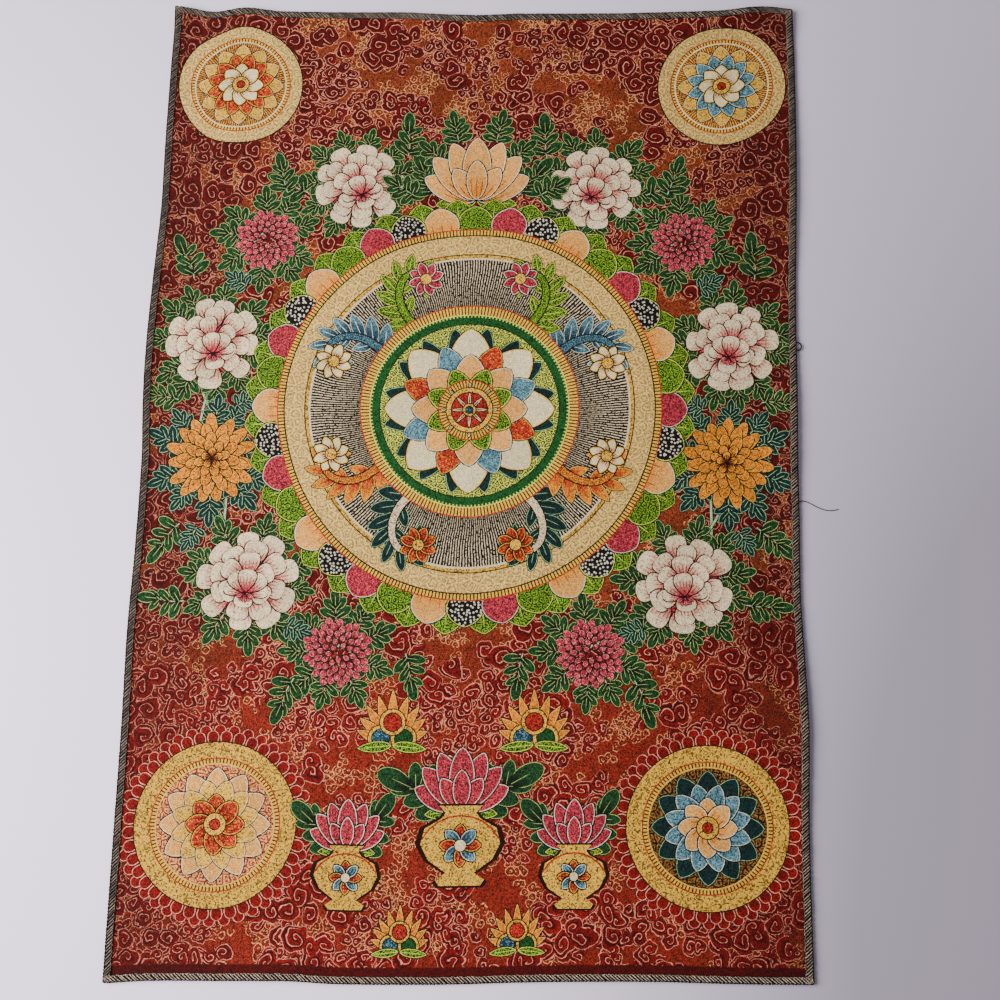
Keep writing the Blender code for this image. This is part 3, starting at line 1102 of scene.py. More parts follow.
def branch(draft, x, y, turn, size, hand, body, leaflet, heart):
    """A scrolling branch: a curled ribbon, leaflets down its outer side and a bloom in it."""
    points = curl_points(x, y, turn, size, hand, 1.5, 22)
    for i in range(2, len(points) - 4, 2):
        (ax, ay), (bx, by) = points[i], points[i + 1]
        along = math.degrees(math.atan2(by - ay, bx - ax))
        grown = size * (0.26 - 0.007 * i)
        draft.petal(ax, ay, along - hand * 50, grown, grown * 0.25, leaflet, 6)
        if i % 4 == 0:
            draft.petal(ax, ay, along + hand * 46, grown * 0.75, grown * 0.20, leaflet, 6)
    draft.strip(points, 10.0, "ink_line", 0.5)
    draft.strip(points, 7.6, body, 0.45)
    middle = points[-6]
    draft.ring_of_petals(*middle, 8, size * 0.145, size * 0.048, (heart,), turn)
    draft.disc(*middle, size * 0.048, "gold_disc", 12)


def jewel(draft, x, y, size):
    """Three jewels in a heap with flames behind them."""
    flames = [(aside, 1.0 - 0.0045 * abs(aside), 0.12) for aside in range(-68, 69, 17)]
    draft.fan(x, y, 90, size, "flame", flames, 6)
    for dx, dy, disc in (
        (-0.2, 0.12, "lake_disc"), (0.2, 0.12, "emerald_disc"), (0, 0.4, "coral_disc"),
    ):
        draft.disc(x + dx * size, y + dy * size, size * 0.24, "gold_disc", 20)
        draft.disc(x + dx * size, y + dy * size, size * 0.17, disc, 18)
    draft.fan(x, y, 90, size, "lime_leaf", ((-96, 0.62, 0.11), (96, 0.62, 0.11)), 6)


def chrysanthemum(draft, x, y, radius, turn):
    """Five rings of narrow petals, shorter towards the middle."""
    for count, reach, width, start in (
        (15, 1.00, 0.16, 0), (13, 0.82, 0.15, 9), (11, 0.62, 0.14, 3), (8, 0.42, 0.12, 16),
        (5, 0.25, 0.10, 0),
    ):
        draft.ring_of_petals(
            x, y, count, radius * reach, radius * width, ("orange_petal",), turn + start, wobble=3
        )


def dahlia(draft, x, y, radius, turn):
    """A ball of small petals laid in a spiral, the outer ones first."""
    count, golden_angle = 64, 137.508
    for i in range(count, 0, -1):
        size = radius * (0.20 + 0.10 * i / count)
        inner = radius * 0.84 * math.sqrt(i / count) - size * 0.5
        way = turn - 90 + i * golden_angle
        draft.petal(*polar(x, y, inner, way), way, size * 1.25, size * 0.46, "pink_petal", 5)


def side_lotus(draft, x, y, size, finish):
    """A lotus seen from the side: a fan of petals over a low cup of leaves."""
    leaves = [(hand * aside, 0.62, 0.13) for aside in (98, 74) for hand in (-1, 1)]
    draft.fan(x, y, 90, size, "lime_leaf", leaves, 6)
    sides = ((66, 0.86), (44, 0.95), (22, 1.0))
    petals = [(hand * aside, reach, 0.21) for aside, reach in sides for hand in (-1, 1)]
    petals += [(0, 1.02, 0.23), (-34, 0.62, 0.17), (34, 0.62, 0.17), (0, 0.66, 0.17)]
    draft.fan(x, y, 90, size, finish, petals)


def wheel(draft, x, y, radius):
    """A spoked wheel: a rim, its spokes and a hub, with a bud past each spoke."""
    turns = range(90, 450, 45)
    for turn in turns:
        bud = polar(x, y, radius * 0.92, turn)
        draft.petal(*bud, turn, radius * 0.30, radius * 0.09, "gold_petal", 5)
    draft.disc(x, y, radius, "gold_disc", 40)
    draft.disc(x, y, radius * 0.78, "coral_disc", 36)
    draft.fan(x, y, 0, radius, "gold_petal", [(turn, 0.80, 0.10) for turn in turns], 5)
    draft.disc(x, y, radius * 0.30, "gold_disc", 24)
    draft.disc(x, y, radius * 0.18, "lake_disc", 18)


def vase(draft, x, y, height):
    """A round-bellied vase on a foot, with a collar, a lotus and two sprigs in it."""
    neck = y + height * 0.52
    for hand in (-1, 1):
        spray(draft, x + hand * height * 0.05, neck, 90 - hand * 48, height * 0.52)
    side_lotus(draft, x, neck, height * 0.42, "lotus_pink")
    profile = (
        (0.16, 0.00), (0.19, 0.04), (0.11, 0.09), (0.25, 0.18), (0.31, 0.29),
        (0.28, 0.40), (0.15, 0.47), (0.12, 0.51), (0.17, 0.56),
    )
    right = [(x + height * a, y + height * b) for a, b in profile]
    left = [(x - height * a, y + height * b) for a, b in reversed(profile)]
    draft.add(right + left, "brown_line", x, y)
    middle = y + height * 0.28
    shape = [(x + (px - x) * 0.88, middle + (py - middle) * 0.95) for px, py in right + left]
    draft.add(shape, "gold_disc", x, middle, 0.0, height, height)
    draft.strip(arc(x, middle - height * 0.1, height * 0.30, 28, 152, 8), 1.4, "coral_line")
    draft.ring_of_petals(x, middle, 8, height * 0.15, height * 0.05, ("lotus_red", "lotus_blue"))
    draft.disc(x, middle, height * 0.045, "cream_disc")


def rosette(draft, x, y, radius, outer, middle, inner):
    """A lotus seen from above, in three rings of petals round a small disc."""
    draft.ring_of_petals(x, y, 12, radius * 0.96, radius * 0.25, (outer,), 90)
    draft.ring_of_petals(x, y, 12, radius * 0.76, radius * 0.20, (middle,), 105)
    draft.ring_of_petals(x, y, 8, radius * 0.52, radius * 0.19, (inner,), 90)
    draft.disc(x, y, radius * 0.2, "gold_disc", 24)
    draft.disc(x, y, radius * 0.1, "coral_disc", 16)


class Roundel(NamedTuple):
    """A corner's round figure: its place and size, its discs and its rosette's petals."""

    x: float
    y: float
    radius: float
    band: str
    field: str
    petals: tuple
    scallops: tuple


# Rings of scallops behind a roundel: the share of its radius, and where the ring starts.
SCALLOP_RINGS = ((1.00, 0.0), (0.93, 4.5))
ROUNDELS = (
    Roundel(-231, 372, 61, "cream_band", "orange_rays", ("gold_petal", "lotus_red", "lotus_cream"), ()),
    Roundel(231, 372, 61, "cream_band", "orange_rays", ("gold_petal", "lotus_blue", "lotus_cream"), ()),
    Roundel(
        -213, -322, 71, "gold_band", "rust_field",
        ("lotus_peach", "gold_petal", "lotus_red"), SCALLOP_RINGS,
    ),
    Roundel(
        213, -322, 71, "gold_band", "dark_field",
        ("teal_leaf", "lotus_blue", "lotus_peach"), SCALLOP_RINGS,
    ),
)


def roundel(draft, form):
    """A corner roundel: a stippled band, a fringe and a field with a rosette in it."""
    x, y, radius = form.x, form.y, form.radius
    for reach, start in form.scallops:
        draft.ring_of_petals(
            x, y, 40, radius * 0.2, radius * 0.085, ("scallop",), 90 + start, inner=radius * reach
        )
    draft.disc(x, y, radius, form.band)
    draft.disc(x, y, radius * 0.80, "fringe")
    draft.disc(x, y, radius * 0.735, form.field)
    rosette(draft, x, y, radius * 0.72, *form.petals)


# The medallion's branches in mirror pairs from its top down: ribbon, leaflets and bloom.
BRANCHES = (
    ("lime_ribbon", "lime_leaf", "lotus_pink"),
    ("lake_ribbon", "sky_leaf", "lotus_cream"),
    ("orange_ribbon", "flame", "lotus_cream"),
    ("cream_ribbon", "teal_leaf", "lotus_red"),
)
# The rings of the medallion's lotus: count, length and half width of petals, finishes, start.
LOTUS_RINGS = (
    (16, 80, 13, ("teal_leaf",), 90 + 11.25),
    (8, 79, 22, ("lotus_cream",), 90),
    (8, 66, 15, ("lotus_blue", "lotus_red"), 90 + 22.5),
    (8, 54, 16, ("lotus_peach",), 90),
    (8, 42, 12, ("lotus_green",), 90 + 22.5),
)


def medallion(draft, x, y):
    """The middle of the cloth: bands round a many-petalled lotus with a wheel in it."""
    finishes = ("lotus_green", "lotus_peach", "lotus_dark", "lotus_pink")
    draft.ring_of_petals(x, y, 36, 40, 19, ("lime_leaf",), 95, inner=168)
    draft.ring_of_petals(x, y, 36, 36, 18, finishes, 90, inner=165)
    for radius, finish in ((177, "fringe"), (171, "cream_band"), (152, "gold_band"), (148, "rays")):
        draft.disc(x, y, radius, finish)
    for i in range(8):
        at = 90 + 45 * (i + 0.5)
        hand = 1 if i % 2 else -1
        base = polar(x, y, 84, at - hand * 7)
        branch(draft, *base, at - hand * 44, 124, hand, *BRANCHES[min(i, 7 - i)])
    for radius, finish in ((101, "fringe"), (92, "emerald_band"), (83, "lime_scrolls")):
        draft.disc(x, y, radius, finish)
    for ring in LOTUS_RINGS:
        draft.ring_of_petals(x, y, *ring)
    draft.disc(x, y, 29, "fringe", 48)
    wheel(draft, x, y, 22)


class Bloom(NamedTuple):
    """A flower of the wreath, with a twin across the cloth's middle line."""

    make: object
    x: float
    y: float
    radius: float
    turn: float
    leaves: int


WREATH = (
    Bloom(peony, 112, 270, 42, 70, 11),
    Bloom(dahlia, 196, 214, 30, 90, 9),
    Bloom(peony, 240, 112, 43, 80, 11),
    Bloom(chrysanthemum, 236, 2, 42, 90, 10),
    Bloom(peony, 196, -110, 45, 95, 11),
    Bloom(dahlia, 112, -172, 31, 90, 9),
)
# On the right-hand side, with twins on the left: sprays with their place, angle, size and
# pairs of leaflets, and leaves with their place and angle.
SPRAYS = (
    (40, 262, 60, 44, 4), (160, 262, 20, 40, 3), (262, 176, 80, 42, 3), (268, 58, 10, 34, 3),
    (262, -58, -40, 40, 3), (252, -128, -10, 38, 3), (150, -196, -55, 40, 3),
    (52, -172, -110, 38, 3), (66, 300, 100, 42, 3), (180, 262, 70, 38, 3),
)
TEAL_LEAVES = ((214, 52, 150), (212, 168, 30), (158, -150, 200), (246, -62, 300))
TOP_LEAVES = ((16, 262, 50), (30, 296, 40), (18, 318, 78), (60, 262, 30))


def leaves_round(draft, bloom, x):
    """Leaves that stand out round a bloom, behind it."""
    finish = "teal_leaf" if bloom.make is chrysanthemum else "green_leaf"
    for i in range(bloom.leaves):
        turn = 360 * (i + 0.5) / bloom.leaves + draft.chance.uniform(-9, 9)
        base = polar(x, bloom.y, bloom.radius * 0.74, turn)
        leaf(draft, *base, turn, 32 + draft.chance.uniform(-3, 3), finish)


def wreath_stems(draft, hand):
    """Two pale stems that wind past each other from bloom to bloom up one side."""
    last = len(WREATH) - 1
    for sway, start in ((13, 0.0), (-11, 0.5)):
        places = [(hand * (bloom.x + sway * (-1) ** i), bloom.y) for i, bloom in enumerate(WREATH)]
        line = smooth_values(range(last + 1), places, np.linspace(start, last, 40))
        draft.stem([tuple(point) for point in line[::-1]], 2.3)


def flowers(draft):
    for hand in (-1, 1):
        wreath_stems(draft, hand)
    for bloom in WREATH:
        for hand in (-1, 1):
            leaves_round(draft, bloom, hand * bloom.x)
    for hand in (-1, 1):
        for x, y, turn, size, pairs in SPRAYS:
            spray(draft, hand * x, y, mirrored(hand, turn), size, pairs)
        for x, y, turn in TEAL_LEAVES:
            leaf(draft, hand * x, y, mirrored(hand, turn), 26, "teal_leaf")
    for bloom in WREATH:
        for hand in (-1, 1):
            bloom.make(draft, hand * bloom.x, bloom.y, bloom.radius, mirrored(hand, bloom.turn))


def drafted():
    """All the figures of the cloth."""
    draft = Draft(SEED)
    flowers(draft)
    for hand in (-1, 1):
        for x, y, turn in TOP_LEAVES:
            leaf(draft, hand * x, y, mirrored(hand, turn), 34)
    side_lotus(draft, 0, 258, 64, "lotus_peach")
    medallion(draft, 0, 52)
    for form in ROUNDELS:
        roundel(draft, form)
    for x, y, size in ((-62, -252, 50), (62, -252, 50), (-50, -424, 40), (50, -424, 40)):
        jewel(draft, x, y, size)
    for x, y, height in ((-98, -392, 100), (98, -392, 100), (0, -372, 126)):
        vase(draft, x, y, height)
    return draft.figures


# ---------------------------------------------------------------------------------------
# The cloth, drafted in millimetres and then laid on its fold
# ---------------------------------------------------------------------------------------

HALF_X_MM = (WIDTH / 2 - CLOTH_INSET) / MM
HALF_Y_MM = (LENGTH / 2 - CLOTH_INSET) / MM
RIM_STEP_MM = 8
# Rows of points by the sides, where the cloth comes down: how far in each is, and its gaps.
SIDE_ROWS_MM = ((3.5, 8), (8, 6), (10.5, 6), (13, 6), (16, 8), (21, 9))
# The grid is set off the drafted lines by a little, so that no point of it falls on one.
GRID_SHIFT_MM = (0.013, 0.017)
# Angles in degrees past which a side of a face is shaded sharp.
CLOTH_SHARP, STITCHES_SHARP = 50, 60


def rim():
    """Points along the raw sides of the cloth."""
    x, y = HALF_X_MM, HALF_Y_MM
    corners = [(-x, -y), (x, -y), (x, y), (-x, y)]
    points = []
    for (ax, ay), (bx, by) in zip(corners, corners[1:] + corners[:1]):
        count = int(math.hypot(bx - ax, by - ay) / RIM_STEP_MM)
        points += [(ax + (bx - ax) * i / count, ay + (by - ay) * i / count) for i in range(count)]
    return points


def spread_points(step):
    """Points on a grid and on closer rows by the sides, which carry the cloth's fold."""
    points = []
    for inward, gap in SIDE_ROWS_MM:
        x, y = HALF_X_MM - inward, HALF_Y_MM - inward
        across = np.linspace(-x, x, int(2 * x / gap))
        up = np.linspace(-y, y, int(2 * y / gap))[1:-1]
        points += [(at, side) for side in (-y, y) for at in across]
        points += [(side, at) for side in (-x, x) for at in up]
    x, y = (half - SIDE_ROWS_MM[-1][0] - step for half in (HALF_X_MM, HALF_Y_MM))
    points += [
        (across + GRID_SHIFT_MM[0], up + GRID_SHIFT_MM[1])
        for across in np.arange(-x, x, step)
        for up in np.arange(-y, y, step)
    ]
    return points


def cut(outlines, loose):
    """Triangles of the plane cut along all outlines, each with the outlines it lies in."""
    points, faces = [], []
    for outline in outlines:
        faces.append(list(range(len(points), len(points) + len(outline))))
        points += [Vector(point) for point in outline]
    points += [Vector(point) for point in loose]
    found = delaunay_2d_cdt(points, [], faces, 1, 1e-4, True)
    kept = [(face, ids) for face, ids in zip(found[2], found[5]) if 0 in ids]
    used = sorted({i for face, _ in kept for i in face})
    renumbered = {old: new for new, old in enumerate(used)}
    places = np.array([tuple(found[0][i]) for i in used])
    triangles = [[renumbered[i] for i in face] for face, _ in kept]
    return places, triangles, [max(ids) for _, ids in kept]


def boundary(faces):
    """The vertices round the outside of some triangles, in order."""
    sides = {(face[i - 1], face[i]) for face in faces for i in range(len(face))}
    onward = {a: b for a, b in sides if (b, a) not in sides}
    start = min(onward)
    ring = [start]
    while onward[ring[-1]] != start:
        ring.append(onward[ring[-1]])
    return ring


def measured(figure, places):
    """The figure's own along and across, in metres, of points in millimetres."""
    cos, sin = math.cos(figure.turn), math.sin(figure.turn)
    x, y = places[:, 0] - figure.x, places[:, 1] - figure.y
    return np.stack([x * cos + y * sin, -x * sin + y * cos], axis=1) * MM


def write_uv(mesh, name, values):
    layer = mesh.uv_layers.new(name=name)
    layer.data.foreach_set("uv", np.ascontiguousarray(values, np.float32).ravel())


def new_piece(context, name, points, faces, materials, slots, sharp):
    """A meshed piece with a material for each face, shaded smooth but for its sharp edges."""
    mesh = bpy.data.meshes.new(name)
    mesh.from_pydata(points.tolist(), [], faces)
    for material in materials:
        mesh.materials.append(material)
    mesh.polygons.foreach_set("material_index", slots)
    mesh.shade_smooth()
    mesh.set_sharp_from_angle(angle=math.radians(sharp))
    mesh.update()
    piece = bpy.data.objects.new(name, mesh)
    context.scene.collection.objects.link(piece)
    return piece


def make_cloth(context):
    """One closed sheet: the cut face, a plain back with the same outline, and the rim between."""
    figures = drafted()
    loose = spread_points(context.scene.brocade_sizes.mesh_step / MM)
    face_points, face_tris, owners = cut([rim()] + [f.outline for f in figures], loose)
    ring = boundary(face_tris)
    back_points, back_tris, _ = cut([[tuple(face_points[i]) for i in ring]], loose)
    nearest = {tuple(np.round(back_points[i], 3)): i for i in boundary(back_tris)}
    first_back = len(face_points)
    below = [first_back + nearest[tuple(np.round(face_points[i], 3))] for i in ring]
    faces = face_tris + [[first_back + i for i in reversed(face)] for face in back_tris]
    faces += [[ring[k], ring[k - 1], below[k - 1], below[k]] for k in range(len(ring))]
    plan = np.concatenate([face_points, back_points])
    across, up = (plan * MM + (WIDTH / 2, LENGTH / 2)).T
    height = seat_height(across, up)
    height[:first_back] += CLOTH_THICKNESS

    materials = cloth_materials()
    slots = {name: i for i, name in enumerate(materials)}
    finishes = ["ground"] + [figure.finish for figure in figures]
    face_slots = [slots[finishes[owner]] for owner in owners]
    face_slots += [slots["reverse"]] * (len(faces) - len(owners))
    points = placed(across, up, height)
    cloth = new_piece(
        context, "woven_cloth", points, faces, materials.values(), face_slots, CLOTH_SHARP
    )
    mesh = cloth.data
    loops = np.empty(len(mesh.loops), np.int32)
    mesh.loops.foreach_get("vertex_index", loops)
    maps = {name: np.zeros((len(loops), 2)) for name in ("figure", "span", "tone")}
    maps["span"] += 1
    for k, owner in enumerate(owners):
        if owner:
            figure, corners = figures[owner - 1], slice(3 * k, 3 * k + 3)
            maps["figure"][corners] = measured(figure, plan[loops[corners]])
            maps["span"][corners] = (figure.length * MM, figure.half_width * MM)
            maps["tone"][corners] = (figure.tone, 0.0)
    write_uv(mesh, "plan", plan[loops] * MM)
    for name, values in maps.items():
        write_uv(mesh, name, values)
    return cloth


# ---------------------------------------------------------------------------------------
# The overlock stitching and the loose thread
# ---------------------------------------------------------------------------------------


class Strand(NamedTuple):
    """A thread of the overlock: its share of the spacing and thickness, and its way."""

    spacing: float
    thickness: float
    route: tuple

    @property
    def span(self):
        return self.route[-1][0] * MM


# The stitch is modelled 3 mm long, and stretched or squeezed to each side's own pitch.
MODEL_PITCH = 3 * MM
# Places on a thread, in millimetres along the side, in from it and over the underside.
STRANDS = {
    "cover thread": Strand(1.0, 1.6, (
        (0.00, 6.90, 2.35), (0.70, 6.10, 2.84), (2.30, 4.30, 2.96), (4.05, 2.30, 2.92),
        (5.30, 0.90, 2.56), (6.05, -0.06, 1.80), (6.20, -0.12, 1.00), (6.30, 0.22, 0.40),
    )),
    "steep thread": Strand(2 / 3, 0.8, (
        (0.00, 6.90, 2.30), (0.52, 5.40, 2.54), (1.14, 3.60, 2.58), (1.75, 1.80, 2.54),
        (2.20, 0.50, 2.26), (2.40, -0.06, 1.60),
    )),
    "needle thread": Strand(1.0, 0.9, (
        (0.00, 6.95, 2.42), (0.40, 7.10, 3.00), (1.50, 7.10, 3.00), (1.90, 6.95, 2.42),
    )),
    "rim thread": Strand(1.0, 1.7, (
        (0.00, 1.20, 2.80), (0.50, 0.75, 3.26), (1.60, 0.35, 3.20), (2.55, 0.05, 2.40),
    )),
}
# A loop of rim thread that was pulled out of the right-hand side.
PULLED_LOOP = (
    (559.2, 0.60, 1.70), (558.5, -1.00, 1.60), (558.8, -2.60, 1.35), (559.9, -3.90, 1.10),
    (561.5, -4.65, 1.00), (563.4, -4.65, 1.00), (565.0, -3.90, 1.10), (566.1, -2.60, 1.30),
    (566.4, -1.00, 1.55), (565.7, 0.60, 1.70),
)
LOOP_THICKNESS = 1.8
BED_STEP = 5 * MM
DARKEST_TONE = 1.0
# How the stitches differ by chance: shares of their reach, and their height.
REACH_CHANCE = (-0.07, 0.05)
HEIGHT_CHANCE = 0.05 * MM
# The least share of a stitch that is left at an end, and the lowest that thread lies.
SHORTEST_STRAND = 0.1
LOWEST_THREAD = 0.02 * MM


class Side(NamedTuple):
    """A side's size, stitches, outward way and places, the machine going anticlockwise."""

    size: float
    stitch_pitch: float
    reach: float
    unevenness: float
    # painted shade: how much darker this side's threads are coloured, standing in for less light on that
    # side
    painted_shade: float
    outward: tuple
    spot: object


# Each side's threads are coloured with a painted shade: lightest at the bottom, darkest at the top.
SIDES = {
    "bottom": Side(
        WIDTH, 3.2 * MM, 0.80, 0.12, -0.3, (0, -1),
        lambda along, inward: (along, inward),
    ),
    "top": Side(
        WIDTH, 3.2 * MM, 0.80, 0.16, 2.5, (0, 1),
        lambda along, inward: (WIDTH - along, LENGTH - inward),
    ),
    "left": Side(
        LENGTH, 2.8 * MM, 0.85, 0.16, 2.2, (-1, 0),
        lambda along, inward: (inward, LENGTH - along),
    ),
    "right": Side(
        LENGTH, 2.8 * MM, 0.92, 0.18, 1.8, (1, 0),
        lambda along, inward: (WIDTH - inward, along),
    ),
}


def thread_material(name, colour, dark, toned=True):
    """Sewing thread with a little sheen, darker or lighter by each stitch's tone and painted shade."""
    w = new_material(name)
    place = w.vector("SCALE", w.object_place(), 1000.0)
    out = w.group(thread_group(), {"Place": place, "Colour": colour, "Dark": dark, "Ply": PLY_MM})
    mixed = out["Colour"]
    if toned:
        # The tone mixes in the dark yarn by chance and by the side's painted shade.
        share = w.math("MULTIPLY_ADD", w.tone(), 0.22, 0.12, clamp=True)
        mixed = w.mix(share, mixed, dark)
    bump = w.node("ShaderNodeBump", {"Height": out["Height"], "Distance": PLY_DEPTH})
    return w.shade(
        {
            "Base Color": mixed,
            "Roughness": out["Roughness"],
            "Specular IOR Level": 0.15,
            "Sheen Weight": 0.03,
            "Normal": bump[0],
        }
    )


def new_thread(context, name, route, radius, roundness):
    """A thread as a bevelled curve through points, with closed ends."""
    curve = bpy.data.curves.new(name, "CURVE")
    curve.dimensions = "3D"
    curve.bevel_depth = radius
    curve.bevel_resolution = roundness
    curve.use_fill_caps = True
    spline = curve.splines.new("POLY")
    spline.points.add(len(route) - 1)
    for point, place in zip(spline.points, route):
        point.co = (*place, 1.0)
    spline.use_smooth = True
    thread = bpy.data.objects.new(name, curve)
    context.scene.collection.objects.link(thread)
    return thread


def strand_mesh(context, name, route, radius):
    """The points and faces of a thread of the stitch."""
    strand = new_thread(context, name, np.array(route) * MM, radius, 1)
    bpy.ops.object.select_all(action="DESELECT")
    strand.select_set(True)
    context.view_layer.objects.active = strand
    bpy.ops.object.convert(target="MESH")
    points = np.array([tuple(vertex.co) for vertex in strand.data.vertices])
    faces = [list(face.vertices) for face in strand.data.polygons]
    bpy.data.objects.remove(strand, do_unlink=True)
    return points, faces


def bed(size, reach):
    """Dense thread under the stitches in painted shade, a channel mitred at both ends: points, faces."""
    channel_top = EDGE_WALL + 2 * CLEARANCE + CLOTH_THICKNESS
    top = channel_top + EDGE_WALL
    section = (
        (reach, 0.0), (EDGE_ROUNDING, 0.0), (0.0, EDGE_ROUNDING),
        (0.0, top - EDGE_ROUNDING), (EDGE_ROUNDING, top), (reach, top),
        (reach, channel_top), (EDGE_WALL, channel_top), (EDGE_WALL, EDGE_WALL), (reach, EDGE_WALL),
    )
    ends = EDGE_REACH + BED_STEP
    middle = np.linspace(ends, size - ends, int((size - 2 * ends) / BED_STEP))
    rows = [[inward + CLEARANCE for inward, _ in section]]
    rows += [[at] * len(section) for at in middle]
    rows += [[size - inward - CLEARANCE for inward, _ in section]]
    points = [(along, *spot) for row in rows for along, spot in zip(row, section)]
    sides, last = len(section), (len(rows) - 1) * len(section)
    faces = [list(range(sides)), [last + k for k in reversed(range(sides))]]
    for first in range(0, last, sides):
        for k in range(sides):
            here, there = first + k, first + (k + 1) % sides
            faces.append([there, here, here + sides, there + sides])
    return np.array(points), faces


class Stitching:
    """The threads of one side, gathered: points, faces, slots, and tones with painted shade."""

    def __init__(self):
        self.points, self.faces, self.slots, self.tones = [], [], [], []
        self.count = 0

    def add(self, points, faces, slot, tone):
        self.faces += [[self.count + v for v in face] for face in faces]
        self.slots += [slot] * len(faces)
        self.tones += [tone] * sum(len(face) for face in faces)
        self.points.append(points)
        self.count += len(points)


def stitches(side, pitch, strand, model, chance):
    """Copies of a thread's model along a side, with points and a tone of chance and painted shade."""
    span, stretch = strand.span, pitch / MODEL_PITCH
    step = pitch * strand.spacing
    for i in range(round((side.size + span * stretch) / step)):
        shift = chance.uniform(-side.unevenness, side.unevenness)
        start = (i + shift) * step - span * stretch
        low, high = max(start, 0), min(start + span * stretch, side.size)
        if high - low < SHORTEST_STRAND * span:
            continue
        along, inward, height = model.T
        along = np.clip(low + along * (high - low) / span, 0, side.size)
        inward = inward * (side.reach * (1 + chance.uniform(*REACH_CHANCE)))
        height = height + chance.uniform(-HEIGHT_CHANCE, HEIGHT_CHANCE)
        height = np.maximum(height, LOWEST_THREAD)
        # The tone darkens the stitch by chance and by its side's painted shade.
        yield np.stack([along, inward, height], axis=1), chance.uniform(-1, 1) + side.painted_shade


def make_overlock(context, name, materials):
    side, sizes = SIDES[name], context.scene.brocade_sizes
    chance = random.Random(f"{SEED} {name}")
    pitch = side.stitch_pitch * sizes.stitch_spread
    gathered = Stitching()
    # The bed's near-black is thread under the stitches and painted shade in the gaps between them.
    gathered.add(*bed(side.size, side.reach * EDGE_REACH), len(STRANDS), DARKEST_TONE)
    for slot, (title, strand) in enumerate(STRANDS.items()):
        radius = strand.thickness * sizes.thread_radius
        model, faces = strand_mesh(context, title, strand.route, radius)
        for points, tone in stitches(side, pitch, strand, model, chance):
            gathered.add(points, faces, slot, tone)
    if name == "right":
        radius = LOOP_THICKNESS * sizes.thread_radius
        loop = strand_mesh(context, "pulled loop", PULLED_LOOP, radius)
        gathered.add(*loop, list(STRANDS).index("rim thread"), DARKEST_TONE)
    along, inward, height = np.concatenate(gathered.points).T
    points = placed(*side.spot(along, np.maximum(inward, 0)), height)
    points[:, :2] -= np.minimum(inward, 0)[:, None] * side.outward
    overlock = new_piece(
        context, f"overlock_{name}", points, gathered.faces, materials, gathered.slots,
        STITCHES_SHARP,
    )
    tones = np.array(gathered.tones)
    write_uv(overlock.data, "tone", np.stack([tones, 0 * tones], axis=1))
    return overlock


def make_thread(context, material):
    """The loose tail, the point where it leaves the stitching, and its length."""
    points = np.array(THREAD_ROUTE) * MM - (MIDDLE_X, MIDDLE_Y, -THREAD_LIFT)
    steps = np.linalg.norm(np.diff(points, axis=0), axis=1)
    knots = np.concatenate([[0.0], np.cumsum(steps)])
    count = round(knots[-1] / THREAD_SPACING) + 1
    line = smooth_values(knots, points, np.linspace(0.0, knots[-1], count))
    tail = new_thread(context, "thread_tail", line, THREAD_DIAMETER / 2, 2)
    tail.data.materials.append(material)
    return tail, points[0], float(knots[-1])


# ---------------------------------------------------------------------------------------
# The stage
# ---------------------------------------------------------------------------------------

CAMERA_PLACE = (0.0472, -0.2207, 1.0749)
CAMERA_TURN = (0.17268, 0.01388, 0.01732)
CAMERA_FOCAL_PX = 1200
PICTURE_PX = 1000
SENSOR_MM = 36

FLOOR_SIZE = 4.0
FLOOR_DROP = 0.3 * MM
# How dark the floor's painted shade makes its colour.
FLOOR_SHADE = 0.40
# The floor's colour has painted shade towards its right and its top: where the painted shade starts and is
# full.
SHADE_RIGHT = (-0.10, 0.54)
SHADE_TOP = (-0.45, 0.60)

STUDIO_COLOUR = (0.93, 0.92, 1.0, 1.0)
STUDIO_STRENGTH = 0.30


class Lamp(NamedTuple):
    """A round lamp that faces the middle of the cloth."""

    place: tuple
    size: float
    power: float
    colour: tuple


LAMPS = {
    "key": Lamp((-1.12, -0.08, 1.00), 1.3, 58.0, (1.0, 0.99, 0.97)),
    "fill": Lamp((0.5, -0.9, 1.9), 1.6, 2.5, (0.97, 0.97, 1.0)),
}


def set_camera(scene):
    lens = bpy.data.cameras.new("camera")
    lens.sensor_width = SENSOR_MM
    lens.lens = SENSOR_MM * CAMERA_FOCAL_PX / PICTURE_PX
    camera = bpy.data.objects.new("camera", lens)
    camera.location = Vector(CAMERA_PLACE) - Vector((MIDDLE_X, MIDDLE_Y, 0))
    camera.rotation_euler = CAMERA_TURN
    scene.collection.objects.link(camera)
    scene.camera = camera


def floor_material(colour):
    w = new_material("floor")
    place = w.object_place()
    across, up = w.parts(place)
    right, top = w.step(across, *SHADE_RIGHT), w.step(up, *SHADE_TOP)
    haze = w.noise(place, 2.2, 3.0, dimensions="3D")
    # Painted shade: the floor's colour darkens towards its right and its top, with a faint haze.
    share = right * (top * -0.78 + 1.28) + top * (right * -0.30 + 0.30) + haze * 0.03
    shaded = tuple(FLOOR_SHADE * part for part in colour)
    return w.shade({"Base Color": w.mix(share, (*colour, 1), (*shaded, 1)), "Roughness": 0.9})


def lay_floor(context):
    bpy.ops.object.select_all(action="DESELECT")
    bpy.ops.mesh.primitive_plane_add(size=FLOOR_SIZE, location=(0, 0, -FLOOR_DROP))
    floor = context.object
    floor.name = "floor"
    floor.data.materials.append(floor_material(context.scene.brocade_colours.floor))
    floor.data.transform(floor.matrix_world)
    floor.matrix_world.identity()
    return floor


